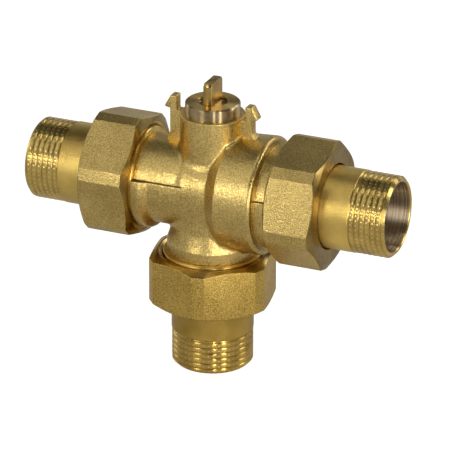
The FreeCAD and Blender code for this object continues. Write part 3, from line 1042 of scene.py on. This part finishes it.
@dataclass
class ForgedBody:
    """The forging with its bores: run, barrel, branch and neck, and the turned ring on the neck."""

    arm_radius: float = 18.3
    collar_radius: float = 20.95
    left_collar_end: float = 27.4
    left_collar: float = 2.9
    collar_flare: float = 4.0
    step_start: float = 4.2
    step_end: float = 9.8
    barrel_start_radius: float = 23.4
    barrel_end_radius: float = 24.3
    barrel_end: float = 26.3
    barrel_round: float = 1.8
    right_collar_end: float = 30.7
    branch_radius: float = 16.65
    branch_straight: float = 15.5
    branch_flare: float = 1.9
    branch_curve: float = 1.3
    branch_collar: float = 4.7
    branch_collar_end: float = 27.4
    neck_base_radius: float = 13.55
    neck_top_radius: float = 13.05
    neck_height: float = 31.8
    spigot_root: float = 0.8
    spigot_radius: float = 11.15
    spigot_top: float = 36.8
    spigot_edge: float = 0.5
    spigot_columns: int = 160
    ledge_depth: float = 0.45
    ledge_angle: float = 14.5
    ledge_stop: float = 5.4
    ledge_fade: float = 4.0
    neck_seam: float = 1.6
    branch_seam: float = 1.6
    crease: float = 0.25
    stem_bore: float = 6.1
    stem_pocket: float = 7.8
    washer_top: float = 18.9
    tail_bore: float = 14.2
    passage_radius: float = 10.5
    passage_start: float = 19.92
    passage_end: float = 23.92
    seat_floor: float = 15.92
    seat_front: float = 9.52
    seat_pocket: float = 14.8
    chamber_radius: float = 15.8
    retainer_start: float = 11.02
    retainer_bore: float = 16.6
    skin_step: float = 0.53
    fine_share: float = 0.33
    margin: float = 2.0

    def run_outline(self) -> Outline:
        """Draw the run, left to right.

        Returns:
            Length along the run and radius of each corner.
        """
        bead = [(self.barrel_end - self.barrel_round + self.barrel_round * math.sin(a),
                 self.barrel_end_radius - self.barrel_round + self.barrel_round * math.cos(a))
                for a in np.linspace(0.0, math.pi / 2.0, 6)]
        flat_end = -self.left_collar_end + self.left_collar
        drop = self.collar_radius - self.arm_radius
        flare = [(flat_end + self.collar_flare * t, self.collar_radius - drop * t * t * (3.0 - 2.0 * t))
                 for t in np.linspace(0.0, 1.0, 8)]
        return [(-self.left_collar_end, self.collar_radius), *flare, (self.step_start, self.arm_radius),
                (self.step_end, self.barrel_start_radius), *bead,
                (self.barrel_end, self.collar_radius), (self.right_collar_end, self.collar_radius)]

    def band_top(self) -> float:
        """Level of the top of the band below the branch's cone."""
        return -self.branch_collar_end + self.branch_collar

    def branch_outline(self) -> Outline:
        """Draw the branch, bottom to top.

        Returns:
            Level and radius of each corner.
        """
        band_top = self.band_top()
        band_radius = self.branch_radius + self.branch_flare
        rise = -self.branch_straight - band_top
        cone = [(band_top + rise * (1.0 - t),
                 self.branch_radius + self.branch_flare * t ** self.branch_curve)
                for t in np.linspace(1.0, 0.0, 9)]
        return [(-self.branch_collar_end, band_radius), *cone, (0.0, self.branch_radius)]

    def neck_outline(self) -> Outline:
        """Outline of the drafted neck, bottom to top."""
        return [(0.0, self.neck_base_radius), (self.neck_height, self.neck_top_radius)]

    def run_bore(self) -> Outline:
        """Draw what is bored out along the run.

        Returns:
            Length along the run and radius of each corner.
        """
        past = self.margin
        return [(-self.left_collar_end - past, self.tail_bore), (-self.passage_end, self.tail_bore),
                (-self.passage_start, self.passage_radius), (-self.seat_floor, self.passage_radius),
                (-self.seat_floor, self.seat_pocket), (-self.seat_front, self.seat_pocket),
                (-self.seat_front, self.chamber_radius), (self.retainer_start, self.chamber_radius),
                (self.retainer_start, self.retainer_bore),
                (self.right_collar_end + past, self.retainer_bore)]

    def column_bore(self) -> Outline:
        """Draw what is bored out along the spindle.

        Returns:
            Level and radius of each corner.
        """
        past = self.margin
        return [(-self.branch_collar_end - past, self.tail_bore), (-self.passage_end, self.tail_bore),
                (-self.passage_start, self.passage_radius), (0.0, self.passage_radius),
                (0.0, self.stem_pocket), (self.washer_top, self.stem_pocket),
                (self.washer_top, self.stem_bore), (self.neck_height + past, self.stem_bore)]

    def ledge(self, points: np.ndarray, radius: np.ndarray, floor: float,
              start: float, end: float, fade: float) -> np.ndarray:
        """Field that is below zero in the shallow step over the parting line.

        Args:
            points: Places to test.
            radius: Their distances from the run.
            floor: Radius of the step's floor.
            start: Where it starts along the run.
            end: Where it ends along the run.
            fade: Length over which its floor rises to the skin at its right end.

        Returns:
            The field.
        """
        angle = math.radians(self.ledge_angle)
        above = points[:, 2] * math.cos(angle) - np.abs(points[:, 1]) * math.sin(angle)
        rise = (self.ledge_depth + self.crease) * smooth_step(end - fade, end, points[:, 0])
        cut = smooth_max(floor + rise - radius, -above, self.crease)
        return np.maximum(cut, np.maximum(start - points[:, 0], points[:, 0] - end))

    def distance(self, points: np.ndarray) -> np.ndarray:
        """Distance of points from the forging's skin.

        Args:
            points: Places in millimetres from the crossing.

        Returns:
            Distances, less than zero inside.
        """
        about_run = np.hypot(points[:, 1], points[:, 2])
        about_spindle = np.hypot(points[:, 0], points[:, 1])
        run = turned_distance(points[:, 0], about_run, self.run_outline())
        left = self.ledge(points, about_run, self.arm_radius - self.ledge_depth,
                          -self.left_collar_end - self.margin, -self.ledge_stop, self.ledge_fade)
        right = self.ledge(points, about_run, self.collar_radius - self.ledge_depth,
                           self.barrel_end, self.right_collar_end + self.margin, self.crease)
        run = smooth_max(smooth_max(run, -left, self.crease), -right, self.crease)
        neck = turned_distance(points[:, 2], about_spindle, self.neck_outline())
        branch = turned_distance(points[:, 2], about_spindle, self.branch_outline())
        outer = smooth_min(smooth_min(run, neck, self.neck_seam), branch, self.branch_seam)
        bores = np.minimum(turned_distance(points[:, 0], about_run, self.run_bore()),
                           turned_distance(points[:, 2], about_spindle, self.column_bore()))
        return np.maximum(outer, -bores)

    def build(self, finishes: Finishes) -> None:
        """Make the forging and the turned ring on its neck.

        Args:
            finishes: The materials to dress them in.
        """
        reach = self.barrel_end_radius + self.margin
        fine = self.skin_step * self.fine_share
        ledge_low = self.arm_radius * math.sin(math.radians(self.ledge_angle)) - 2.0 * self.crease
        ledge_high = self.collar_radius * math.sin(math.radians(self.ledge_angle)) + self.crease
        band_top = self.band_top()
        left, right = -self.left_collar_end - self.margin, self.right_collar_end + self.margin
        bottom, top = -self.branch_collar_end - self.margin, self.neck_height + self.margin
        lines = [
            grid_lines(left, right, self.skin_step,
                       [(self.barrel_end - self.crease, self.barrel_end + self.crease, fine)]),
            grid_lines(-reach, reach, self.skin_step),
            grid_lines(bottom, top, self.skin_step,
                       [(ledge_low, ledge_high + self.crease, fine),
                        (band_top - self.crease, band_top + self.crease, fine)])]
        net = SurfaceNet(self.distance, lines, self.skin_step)
        points, quads = net.build()
        mesh = finish_mesh("forged_body", points, quads, np.zeros(len(quads)), sharp=None)
        mesh.normals_split_custom_set_from_vertices(net.normals(points).tolist())
        shell = add_piece(mesh, Body.VALVE.value, Slot.FORGED, finishes.forged)
        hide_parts("valve_body")
        self.build_neck_top(finishes)

    def build_neck_top(self, finishes: Finishes) -> None:
        """Make the turned ring that a motor head drops over, on the top of the neck.

        Args:
            finishes: The materials to dress it in.
        """
        ring, face, bore = range(3)
        root = self.neck_height - self.spigot_root
        spigot = Turning(SPINDLE_AXES, even_angles(self.spigot_columns))
        spigot.add(
            Corner(self.stem_bore, root, finish=bore),
            Corner(self.spigot_radius, root, finish=bore),
            Corner(self.spigot_radius, self.spigot_top - self.spigot_edge, Ease.SMALL, ring),
            Corner(self.spigot_radius - self.spigot_edge, self.spigot_top, Ease.SMALL, ring),
            Corner(self.stem_bore, self.spigot_top, Ease.SOFT, face))
        add_piece(spigot.mesh("turned_spigot"), Body.VALVE.value, Slot.TURNED,
                  *finishes.cuts(Turn.SPINDLE, Cut.MIRROR, Cut.BRIGHT, Cut.BORE))


@dataclass
class MotorHook:
    """One of the two barbed plates that a motor head clips over."""

    side: Port
    thickness: float = 4.6
    root: float = 11.85
    low: float = 17.0
    inner: float = 14.95
    outer: float = 17.85
    foot: float = 19.55
    foot_level: float = 24.0
    foot_rise: float = 1.7
    barb_level: float = 31.6
    barb_tip: float = 20.35
    barb_tip_level: float = 32.2
    top: float = 37.2
    top_flat: float = 2.7
    web_top: float = 31.2
    edge: float = 0.4
    edge_steps: int = 3
    sharp: float = 35.0

    def outline(self) -> Outline:
        """Draw the plate.

        Returns:
            Distance from the spindle and level of each corner.
        """
        return [(self.root, self.low), (self.foot, self.low), (self.foot, self.foot_level),
                (self.outer, self.foot_level + self.foot_rise), (self.outer, self.barb_level),
                (self.barb_tip, self.barb_tip_level), (self.inner + self.top_flat, self.top),
                (self.inner, self.top), (self.inner, self.web_top), (self.root, self.web_top)]

    def build(self, finishes: Finishes) -> None:
        """Make the plate with softened edges.

        Args:
            finishes: The materials to dress it in.
        """
        work = bmesh.new()
        half = self.thickness / 2.0
        lift = run_height()
        sign = -1 if self.side is Port.LEFT else 1
        spots = [[work.verts.new(((sign * x) * MM, y * MM, (z + lift) * MM)) for x, z in self.outline()]
                 for y in (-half, half)]
        work.faces.new(spots[0])
        work.faces.new(list(reversed(spots[1])))
        count = len(spots[0])
        for i in range(count):
            j = (i + 1) % count
            work.faces.new((spots[0][j], spots[0][i], spots[1][i], spots[1][j]))
        bmesh.ops.recalc_face_normals(work, faces=work.faces)
        bmesh.ops.bevel(work, geom=list(work.edges), offset=self.edge * MM,
                        segments=self.edge_steps, profile=0.5, affect="EDGES", clamp_overlap=True)
        mesh = bpy.data.meshes.new(self.side.value + "_hook")
        work.to_mesh(mesh)
        work.free()
        shade_mesh(mesh, self.sharp)
        add_piece(mesh, Body.VALVE.value, Slot.FORGED, finishes.forged)


@dataclass
class Union:
    """Threaded end of the body, tail and nut at one port."""

    port: Port
    nut_turn: float
    body_bore: float
    collar_level: float = 11.8
    body_columns: int = 180
    body_thread: ThreadForm = ThreadForm(depth=1.35)
    body_crest: float = 20.9
    body_edge: float = 1.0
    body_plain: float = 20.2
    shoulder: float = 0.35
    relief: float = 1.6
    relief_slope: float = 0.3
    thread_play: float = 0.12
    tail_thread: ThreadForm = ThreadForm(depth=0.34, fullness=0.45)
    tail_bore: float = 14.2
    tail_radius: float = 16.8
    tail_crest: float = 16.62
    tail_end: float = 37.5
    tail_edge: float = 1.35
    tail_mouth: float = 0.4
    tail_thread_length: float = 14.8
    tail_groove: float = 0.45
    tail_lead: float = 0.2
    # Depths below the crest over which the thread's roots fade into painted shade.
    root_shade_range: tuple[float, float] = (0.45, 1.0)
    collar_start: float = 2.0
    collar_end: float = 6.0
    collar_radius: float = 19.2
    dimples: int = 50
    dimple_columns: tuple[float, ...] = (-0.24, -0.144, -0.072, 0.0, 0.072, 0.144, 0.24, 0.5)
    dimple_depth: float = 0.14
    dimple_size: float = 0.27
    nut_flat: float = 24.0
    nut_corner_cut: float = 3.0
    nut_edge_rows: tuple[float, ...] = (0.0, 0.08, 0.2, 0.4, 0.8, 1.6)
    nut_flat_rows: tuple[float, ...] = (4.0, 7.0)
    nut_edge_round: float = 0.12
    nut_least_gap: float = 1e-4
    nut_end: float = 10.2
    nut_skirt: float = 11.2
    nut_hole: float = 17.5
    nut_bevel: float = 25.0
    nut_outer_face: float = 23.3
    nut_inner_face: float = 22.5
    nut_thread_end: float = 2.0
    nut_relief: float = 21.1
    nut_mouth: float = 0.8
    nut_mouth_slope: float = 1.6
    nut_thread_fade: float = 0.4
    thread_ring: float = 0.16

    def build(self, finishes: Finishes) -> None:
        """Make the three pieces of the union.

        Args:
            finishes: The materials to dress them in.
        """
        self.build_body_end(finishes)
        self.build_tail(finishes)
        self.build_nut(finishes)

    def turn(self) -> Turn:
        """Axis that this union's pieces are turned about."""
        return Turn.SPINDLE if self.port is Port.BOTTOM else Turn.RUN

    def thread_levels(self, start: float, end: float) -> np.ndarray:
        """Evenly spaced levels for the rings of a thread."""
        return np.linspace(start, end, int((end - start) / self.thread_ring) + 1)

    def build_body_end(self, finishes: Finishes) -> None:
        """Make the threaded end of the body.

        Args:
            finishes: The materials to dress it in.
        """
        angles = even_angles(self.body_columns)
        end = Turning(port_axes(self.port), angles)
        root = self.body_crest - self.body_thread.depth
        start = -self.collar_level + self.relief
        top = -self.collar_level
        end.add(Corner(self.body_bore, top),
                Corner(self.body_plain - self.shoulder, top, Ease.KEEN),
                Corner(self.body_plain, top + self.shoulder, Ease.KEEN),
                Corner(self.body_plain, start - self.relief_slope, Ease.KEEN),
                Corner(root, start))
        for level in self.thread_levels(start, 0.0):
            radius = root + self.body_thread.depth * self.body_thread.height(level, angles)
            radius = root + (radius - root) * min((level - start) / self.relief, 1.0)
            end.add(Corner(np.minimum(radius, self.body_crest - self.body_edge - level), level))
        end.add(Corner(self.body_bore, 0.0, Ease.BROAD))
        add_piece(end.mesh(self.port.value + "_body_thread"), Body.VALVE.value, Slot.FORGED,
                  *finishes.cuts(self.turn(), Cut.BRIGHT))

    def dimpled(self, level: Size, angles: np.ndarray) -> np.ndarray:
        """Depth of the small dents struck along the thread's crests.

        Args:
            level: Length along the tail.
            angles: Angles round the tail.

        Returns:
            Depth to take off the radius.
        """
        turns = level / self.tail_thread.pitch - angles / FULL_TURN - 0.5
        along = (turns - np.round(turns)) * self.tail_thread.pitch
        beats = angles * self.dimples / FULL_TURN
        across = (beats - np.round(beats)) * FULL_TURN * self.tail_crest / self.dimples
        return self.dimple_depth * np.exp(-(along ** 2 + across ** 2) / self.dimple_size ** 2)

    def mark_thread(self, mesh: Mesh, axes: Axes) -> None:
        """Store how far each corner of a tail lies in a dent or in the thread's root; the root share is
        painted shade in its finish.

        Args:
            mesh: The tail's mesh, in metres.
            axes: The axes that it was turned about.
        """
        spots = np.empty(len(mesh.vertices) * 3, dtype=np.float32)
        mesh.vertices.foreach_get("co", spots)
        places = spots.reshape(-1, 3) / MM - crossing() - np.array(axes.origin)
        angles = np.arctan2(places @ np.array(axes.aside), places @ np.array(axes.across))
        levels = places @ np.array(axes.along)
        below = 1.0 - self.tail_thread.height(levels, angles)
        store(mesh, DENT_ATTRIBUTE, self.dimpled(levels, angles) / self.dimple_depth)
        store(mesh, ROOT_SHADE_ATTRIBUTE, smooth_step(*self.root_shade_range, below))

    def build_tail(self, finishes: Finishes) -> None:
        """Make the tail with its collar, plain length and dimpled thread.

        Args:
            finishes: The materials to dress it in.
        """
        turned, satin, thread, bore = range(4)
        beats = np.arange(self.dimples)[:, None] + np.array(self.dimple_columns)
        angles = beats.ravel() * FULL_TURN / self.dimples
        start = self.tail_end - self.tail_thread_length
        tail = Turning(port_axes(self.port), angles)
        tail.add(Corner(self.tail_bore, self.collar_start, Ease.SOFT, bore),
                 Corner(self.collar_radius, self.collar_start, Ease.BROAD, turned),
                 Corner(self.collar_radius, self.collar_end, Ease.BROAD, turned),
                 Corner(self.tail_radius, self.collar_end, Ease.LIP, turned),
                 Corner(self.tail_radius, start - self.tail_groove, Ease.SMALL, satin),
                 Corner(self.tail_radius - self.tail_groove, start, Ease.KEEN, thread))
        form = self.tail_thread
        edge_start = self.tail_end - self.tail_edge
        for level in self.thread_levels(start + form.pitch * self.tail_lead, self.tail_end):
            height = form.height(level, angles)
            radius = self.tail_crest - form.depth * (1.0 - height) - self.dimpled(level, angles)
            bevel = self.tail_crest - max(level - edge_start, 0.0)
            tail.add(Corner(np.minimum(radius, bevel), level, finish=thread))
        tail.add(Corner(self.tail_bore + self.tail_mouth, self.tail_end, Ease.SMALL, turned),
                 Corner(self.tail_bore, self.tail_end - self.tail_mouth, Ease.PLAIN, turned))
        name = "tail_" + self.port.value
        mesh = tail.mesh(self.port.value + "_union_tail")
        self.mark_thread(mesh, tail.axes)
        piece = add_piece(mesh, self.port.value + "_tail", Slot.TURNED,
                          *finishes.cuts(self.turn(), Cut.BRIGHT, Cut.SATIN, Cut.THREAD, Cut.BORE))
        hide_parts(name)

    def nut_outline(self) -> tuple[np.ndarray, np.ndarray]:
        """Angles round the nut, close together at its edges, and its outside there.

        Returns:
            Angles and radii.
        """
        reach = self.nut_flat * 2.0 / math.sqrt(3.0)
        narrow = reach - self.nut_corner_cut / 2.0
        wide_half = self.nut_flat * math.tan(HEX_HALF) - self.nut_corner_cut
        narrow_half = self.nut_corner_cut * math.sin(math.radians(HEX_STEP))
        near_edge = np.array(self.nut_edge_rows)
        inner = np.concatenate([near_edge[1:], self.nut_flat_rows])
        cut_places = np.concatenate([narrow_half - near_edge, near_edge[:0:-1] - narrow_half, [0.0]])
        flat_places = np.concatenate([wide_half - inner, inner - wide_half, [0.0]])
        angles: list[float] = []
        for i in range(HEX_SIDES):
            corner = math.radians(self.nut_turn + HEX_STEP * i)
            angles += (corner + np.arctan2(cut_places, narrow)).tolist()
            angles += (corner + HEX_HALF + np.arctan2(flat_places, self.nut_flat)).tolist()
        around = distinct_angles(angles, self.nut_least_gap)
        from_corner = np.mod(around - math.radians(self.nut_turn) + HEX_HALF, math.radians(HEX_STEP))
        from_corner = np.abs(from_corner - HEX_HALF)
        wide = self.nut_flat / np.cos(HEX_HALF - from_corner)
        return around, smooth_min(wide, narrow / np.cos(from_corner), self.nut_edge_round)

    def build_nut(self, finishes: Finishes) -> None:
        """Make the nut: flats with cut corners, turned bevels, a lip and an inside thread.

        Args:
            finishes: The materials to dress it in.
        """
        forged, faced, bevel, thread = range(4)
        angles, outside = self.nut_outline()
        slope = math.tan(math.radians(self.nut_bevel))
        nut = Turning(port_axes(self.port), angles)
        form = self.body_thread
        root = self.body_crest - form.depth + self.thread_play
        mouth = self.nut_relief + self.nut_mouth
        outer_edge = self.nut_end - (outside - self.nut_outer_face) * slope
        inner_edge = -self.nut_skirt + (outside - self.nut_inner_face) * slope
        nut.add(Corner(self.nut_hole, self.nut_end, Ease.LIP, faced),
                Corner(self.nut_outer_face, self.nut_end, Ease.CRISP, faced),
                Corner(outside, outer_edge, Ease.PLAIN, faced),
                Corner(outside, inner_edge, Ease.PLAIN, forged),
                Corner(self.nut_inner_face, -self.nut_skirt, Ease.SMALL, bevel),
                Corner(mouth, -self.nut_skirt, Ease.KEEN, bevel))
        for level in self.thread_levels(-self.nut_skirt + self.thread_ring, self.nut_thread_end):
            radius = root + form.depth * form.height(level, angles)
            funnel = mouth - self.nut_mouth_slope * (level + self.nut_skirt)
            nut.add(Corner(np.maximum(radius, funnel), level, finish=thread))
        nut.add(Corner(self.nut_relief, self.nut_thread_end + self.nut_thread_fade, finish=thread),
                Corner(self.nut_relief, self.collar_end, Ease.PLAIN, faced),
                Corner(self.nut_hole, self.collar_end, Ease.PLAIN, faced))
        forging = finishes.low_nut if self.port is Port.BOTTOM else finishes.nut
        piece = add_piece(nut.mesh(self.port.value + "_union_nut"), self.port.value + "_nut", Slot.NUT,
                          forging, *finishes.cuts(self.turn(), Cut.FACED, Cut.CRISP, Cut.BRIGHT))
        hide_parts("nut_" + self.port.value)


@dataclass
class Spindle:
    """Turned stem with two seal grooves, a drive for the ball and a flatted end."""

    radius: float = 5.8
    drive_floor: float = 11.9
    collar_base: float = 15.5
    collar_top: float = 18.0
    collar_radius: float = 7.4
    groove_floor: float = 4.3
    groove_width: float = 2.4
    groove_starts: tuple[float, float] = (22.5, 28.5)
    drive_half: float = 2.9
    tang_half: float = 1.8
    tang_base: float = 36.0
    tang_top: float = 45.8
    tang_edge: float = 1.3
    flat_rows: tuple[float, ...] = (-0.06, -0.02, 0.0, 0.02, 0.06)
    flat_edge: float = 0.12
    round_columns: int = 72
    least_gap: float = 1e-3
    least_cosine: float = 1e-6
    pole_share: float = 0.3

    def columns(self) -> np.ndarray:
        """Choose angles that are close together where flats meet the round.

        Returns:
            The angles in order.
        """
        spots: list[float] = []
        for half, turn in ((self.tang_half, 0.0), (self.drive_half, math.pi / 2.0)):
            edge = math.acos(half / self.radius)
            for sign in (-1.0, 1.0):
                for middle in (0.0, math.pi):
                    spots += [turn + middle + sign * edge + row for row in self.flat_rows]
        spots += even_angles(self.round_columns).tolist()
        return distinct_angles(spots, self.least_gap)

    def flatted(self, half: float, slant: np.ndarray) -> np.ndarray:
        """Radii of the round stem with two flats, from the flats' cosine at each angle."""
        round_end = np.full(slant.shape, self.radius)
        return smooth_min(round_end, half / np.maximum(np.abs(slant), self.least_cosine), self.flat_edge)

    def build(self, finishes: Finishes) -> None:
        """Make the stem.

        Args:
            finishes: The materials to dress it in.
        """
        angles = self.columns()
        tang = self.flatted(self.tang_half, np.cos(angles))
        drive = self.flatted(self.drive_half, np.sin(angles))
        top = np.minimum(tang, self.radius - self.tang_edge / 2.0)
        stem = Turning(SPINDLE_AXES, angles)
        stem.add(Corner(drive * self.pole_share, self.drive_floor),
                 Corner(drive, self.drive_floor, Ease.PLAIN),
                 Corner(drive, self.collar_base),
                 Corner(self.collar_radius, self.collar_base, Ease.PLAIN),
                 Corner(self.collar_radius, self.collar_top, Ease.PLAIN),
                 Corner(self.radius, self.collar_top))
        for start in self.groove_starts:
            end = start + self.groove_width
            stem.add(Corner(self.radius, start, Ease.SMALL), Corner(self.groove_floor, start),
                     Corner(self.groove_floor, end), Corner(self.radius, end, Ease.SMALL))
        stem.add(Corner(self.radius, self.tang_base, Ease.SMALL),
                 Corner(tang, self.tang_base, Ease.SOFT),
                 Corner(tang, self.tang_top - self.tang_edge, Ease.CRISP),
                 Corner(top, self.tang_top, Ease.PLAIN),
                 Corner(top * self.pole_share, self.tang_top))
        piece = add_piece(stem.mesh("flatted_stem", closed=False), Body.SPINDLE.value, Slot.TURNED,
                          *finishes.cuts(Turn.SPINDLE, Cut.CRISP))
        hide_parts("stem")


@dataclass
class InnerPieces:
    """Pieces held inside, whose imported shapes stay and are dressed."""

    sides: tuple[Port, ...] = tuple(Port)

    def build(self, finishes: Finishes) -> None:
        """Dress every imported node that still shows.

        Args:
            finishes: The materials to choose from.
        """
        dressed = {"ball": finishes.chrome, "seat_retainer": finishes.retainer,
                   "seat_left": finishes.seat, "seat_right": finishes.seat,
                   "stem_thrust_washer": finishes.seat}
        rings = ("seat_left_o_ring", "seat_right_o_ring", "retainer_o_ring",
                 "stem_o_ring_lower", "stem_o_ring_upper")
        dressed.update({name: finishes.seal for name in rings})
        dressed.update({"gasket_" + port.value: finishes.gasket for port in self.sides})
        for name, material in dressed.items():
            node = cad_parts[name]
            for slot in node.material_slots:
                slot.material = material
            log.info("%s dressed in %s", name, material.name)


@dataclass
class Studio:
    """Pale floor, soft lamps, white surround and the camera of the photograph."""

    azimuth: float = 23.367
    elevation: float = 23.723
    roll: float = 0.106
    distance: float = 1.7278
    aim: tuple[float, float, float] = (0.0070735, -0.0039139, 0.0621399)
    lens: float = 343.09
    sensor: float = 36.0
    far_clip: float = 50.0
    floor_size: float = 6.0
    floor_drop: float = 0.00002
    floor_colour: Colour = (0.72, 0.72, 0.71)
    floor_lift: float = 0.80
    floor_glint: float = 0.04
    ambient: float = 0.06
    ambient_colour: Colour = (1.0, 0.97, 0.92)
    surround: tuple[float, float] = (0.60, 0.06)
    surround_levels: tuple[float, float] = (0.12, 0.30)

    def build(self) -> None:
        """Make the whole studio."""
        self.build_floor()
        self.build_world()
        self.build_lamps()
        self.build_camera()
        bpy.context.scene.view_settings.view_transform = "Standard"

    def build_floor(self) -> None:
        """Lay a pale floor that the camera sees as white where no shadow falls."""
        half = self.floor_size / 2.0
        mesh = bpy.data.meshes.new("floor")
        corners = [(-half, -half), (half, -half), (half, half), (-half, half)]
        mesh.from_pydata([(x, y, -self.floor_drop) for x, y in corners], [], [(0, 1, 2, 3)])
        material, board = new_material("pale_floor")
        path = board.add("ShaderNodeLightPath").outputs
        seen = board.math("MULTIPLY", path["Is Camera Ray"], self.floor_lift)
        mirrored = board.math("MAXIMUM", path["Is Glossy Ray"], path["Is Transmission Ray"])
        lift = board.math("MULTIPLY_ADD", mirrored, self.floor_glint, seen)
        pale = board.add("ShaderNodeBsdfDiffuse", None, {"Color": (*self.floor_colour, 1.0)})
        glow = board.add("ShaderNodeEmission", None, {"Strength": lift})
        both = board.add("ShaderNodeAddShader", None, {0: pale.outputs[0], 1: glow.outputs[0]})
        board.surface(both.outputs[0])
        mesh.materials.append(material)
        floor = link("floor", mesh)

    def build_world(self) -> None:
        """Surround the scene: white to the camera, a pale horizon under a dim ceiling to the metal."""
        world = bpy.data.worlds.new("studio")
        bpy.context.scene.world = world
        world.use_nodes = True
        board = NodeBoard(world.node_tree)
        path = board.add("ShaderNodeLightPath").outputs
        way = board.add("ShaderNodeTexCoord").outputs["Generated"]
        level = board.add("ShaderNodeSeparateXYZ", None, {0: way}).outputs["Z"]
        wall = board.between(level, *self.surround, *self.surround_levels)
        strength = board.math("MAXIMUM", path["Is Camera Ray"], wall)
        shown = board.math("MAXIMUM", path["Is Camera Ray"], path["Is Glossy Ray"])
        shown = board.math("MAXIMUM", shown, path["Is Transmission Ray"])
        soft = board.add("ShaderNodeBackground", None, {
            "Color": (*self.ambient_colour, 1.0), "Strength": self.ambient})
        white = board.add("ShaderNodeBackground", None, {
            "Color": (1.0, 1.0, 1.0, 1.0), "Strength": strength})
        mixed = board.add("ShaderNodeMixShader", None, {
            0: shown, 1: soft.outputs[0], 2: white.outputs[0]})
        board.add("ShaderNodeOutputWorld", None, {"Surface": mixed.outputs[0]})

    def build_lamps(self) -> None:
        """Hang the soft lamps."""
        for lamp in (Lamp("left_softbox", -21.0, 19.0, 0.32, 0.14, 2.0),
                     Lamp("front_softbox", 28.0, 13.0, 0.05, 0.60, 2.4),
                     Lamp("right_softbox", 54.0, 13.0, 0.17, 0.60, 3.5),
                     Lamp("side_softbox", 115.0, 22.0, 0.34, 0.45, 3.2),
                     Lamp("far_left_softbox", -48.0, 44.0, 1.0, 0.85, 2.0),
                     Lamp("top_softbox", 23.0, 80.0, 0.34, 0.34, 1.0),
                     Lamp("back_softbox", 158.0, 34.0, 0.45, 0.45, 1.8),
                     Lamp("far_back_softbox", 258.0, 8.0, 0.45, 0.45, 1.2),
                     Lamp("high_back_softbox", 200.0, 40.0, 0.45, 0.45, 0.3)):
            lamp.build(Vector(self.aim))

    def build_camera(self) -> None:
        """Stand the camera where the photograph was taken from."""
        data = bpy.data.cameras.new("camera")
        data.lens = self.lens
        data.sensor_fit = "HORIZONTAL"
        data.sensor_width = self.sensor
        data.clip_end = self.far_clip
        camera = link("camera", data)
        spin = Matrix.Rotation(math.radians(self.roll), 4, "Z")
        camera.matrix_world = facing(Vector(self.aim), self.azimuth, self.elevation, self.distance) @ spin
        bpy.context.scene.camera = camera


def sight(azimuth: float, elevation: float) -> Vector:
    """Direction from the object to a viewer; azimuth 0 looks along +Y."""
    a, e = math.radians(azimuth), math.radians(elevation)
    return Vector((math.sin(a) * math.cos(e), -math.cos(a) * math.cos(e), math.sin(e)))


def facing(aim: Vector, azimuth: float, elevation: float, distance: float) -> Matrix:
    """Stand something off a point so that it faces it.

    Args:
        aim: The point.
        azimuth: Bearing from the point in degrees.
        elevation: Height over the level in degrees.
        distance: How far off, in metres.

    Returns:
        The place and turn.
    """
    back = sight(azimuth, elevation)
    turn = (-back).to_track_quat("-Z", "Y").to_matrix().to_4x4()
    return Matrix.Translation(aim + back * distance) @ turn


@dataclass(frozen=True)
class Lamp:
    """A rectangular soft lamp at a bearing from the object."""

    name: str
    azimuth: float
    elevation: float
    width: float
    height: float
    watts: float
    colour: Colour = (1.0, 0.98, 0.95)
    distance: float = 1.2

    def build(self, aim: Vector) -> None:
        """Hang the lamp.

        Args:
            aim: The point that it faces.
        """
        data = bpy.data.lights.new(self.name, "AREA")
        data.shape = "RECTANGLE"
        data.size = self.width
        data.size_y = self.height
        data.energy = self.watts
        data.color = self.colour
        lamp = link(self.name, data)
        lamp.matrix_world = facing(aim, self.azimuth, self.elevation, self.distance)


def main() -> None:
    """Build the valve piece by piece, then the studio."""
    logging.basicConfig(level=logging.INFO, format="%(message)s")
    body = ForgedBody()
    finishes = Finishes.make(PartingLine(run_height(), body.ledge_angle, -body.ledge_stop, body.barrel_end))
    assemblies = [
        body,
        MotorHook(Port.LEFT, foot=19.1, foot_level=20.0, foot_rise=1.2),
        MotorHook(Port.RIGHT),
        Spindle(),
        Union(Port.LEFT, nut_turn=-15.3, body_bore=body.tail_bore),
        Union(Port.RIGHT, nut_turn=44.5, body_bore=body.retainer_bore),
        Union(Port.BOTTOM, nut_turn=19.9, body_bore=body.tail_bore, shoulder=0.6,
              dimple_depth=0.10, dimple_size=0.21),
        InnerPieces()]
    for assembly in assemblies:
        assembly.build(finishes)
    Studio().build()


if __name__ == "__main__":
    main()
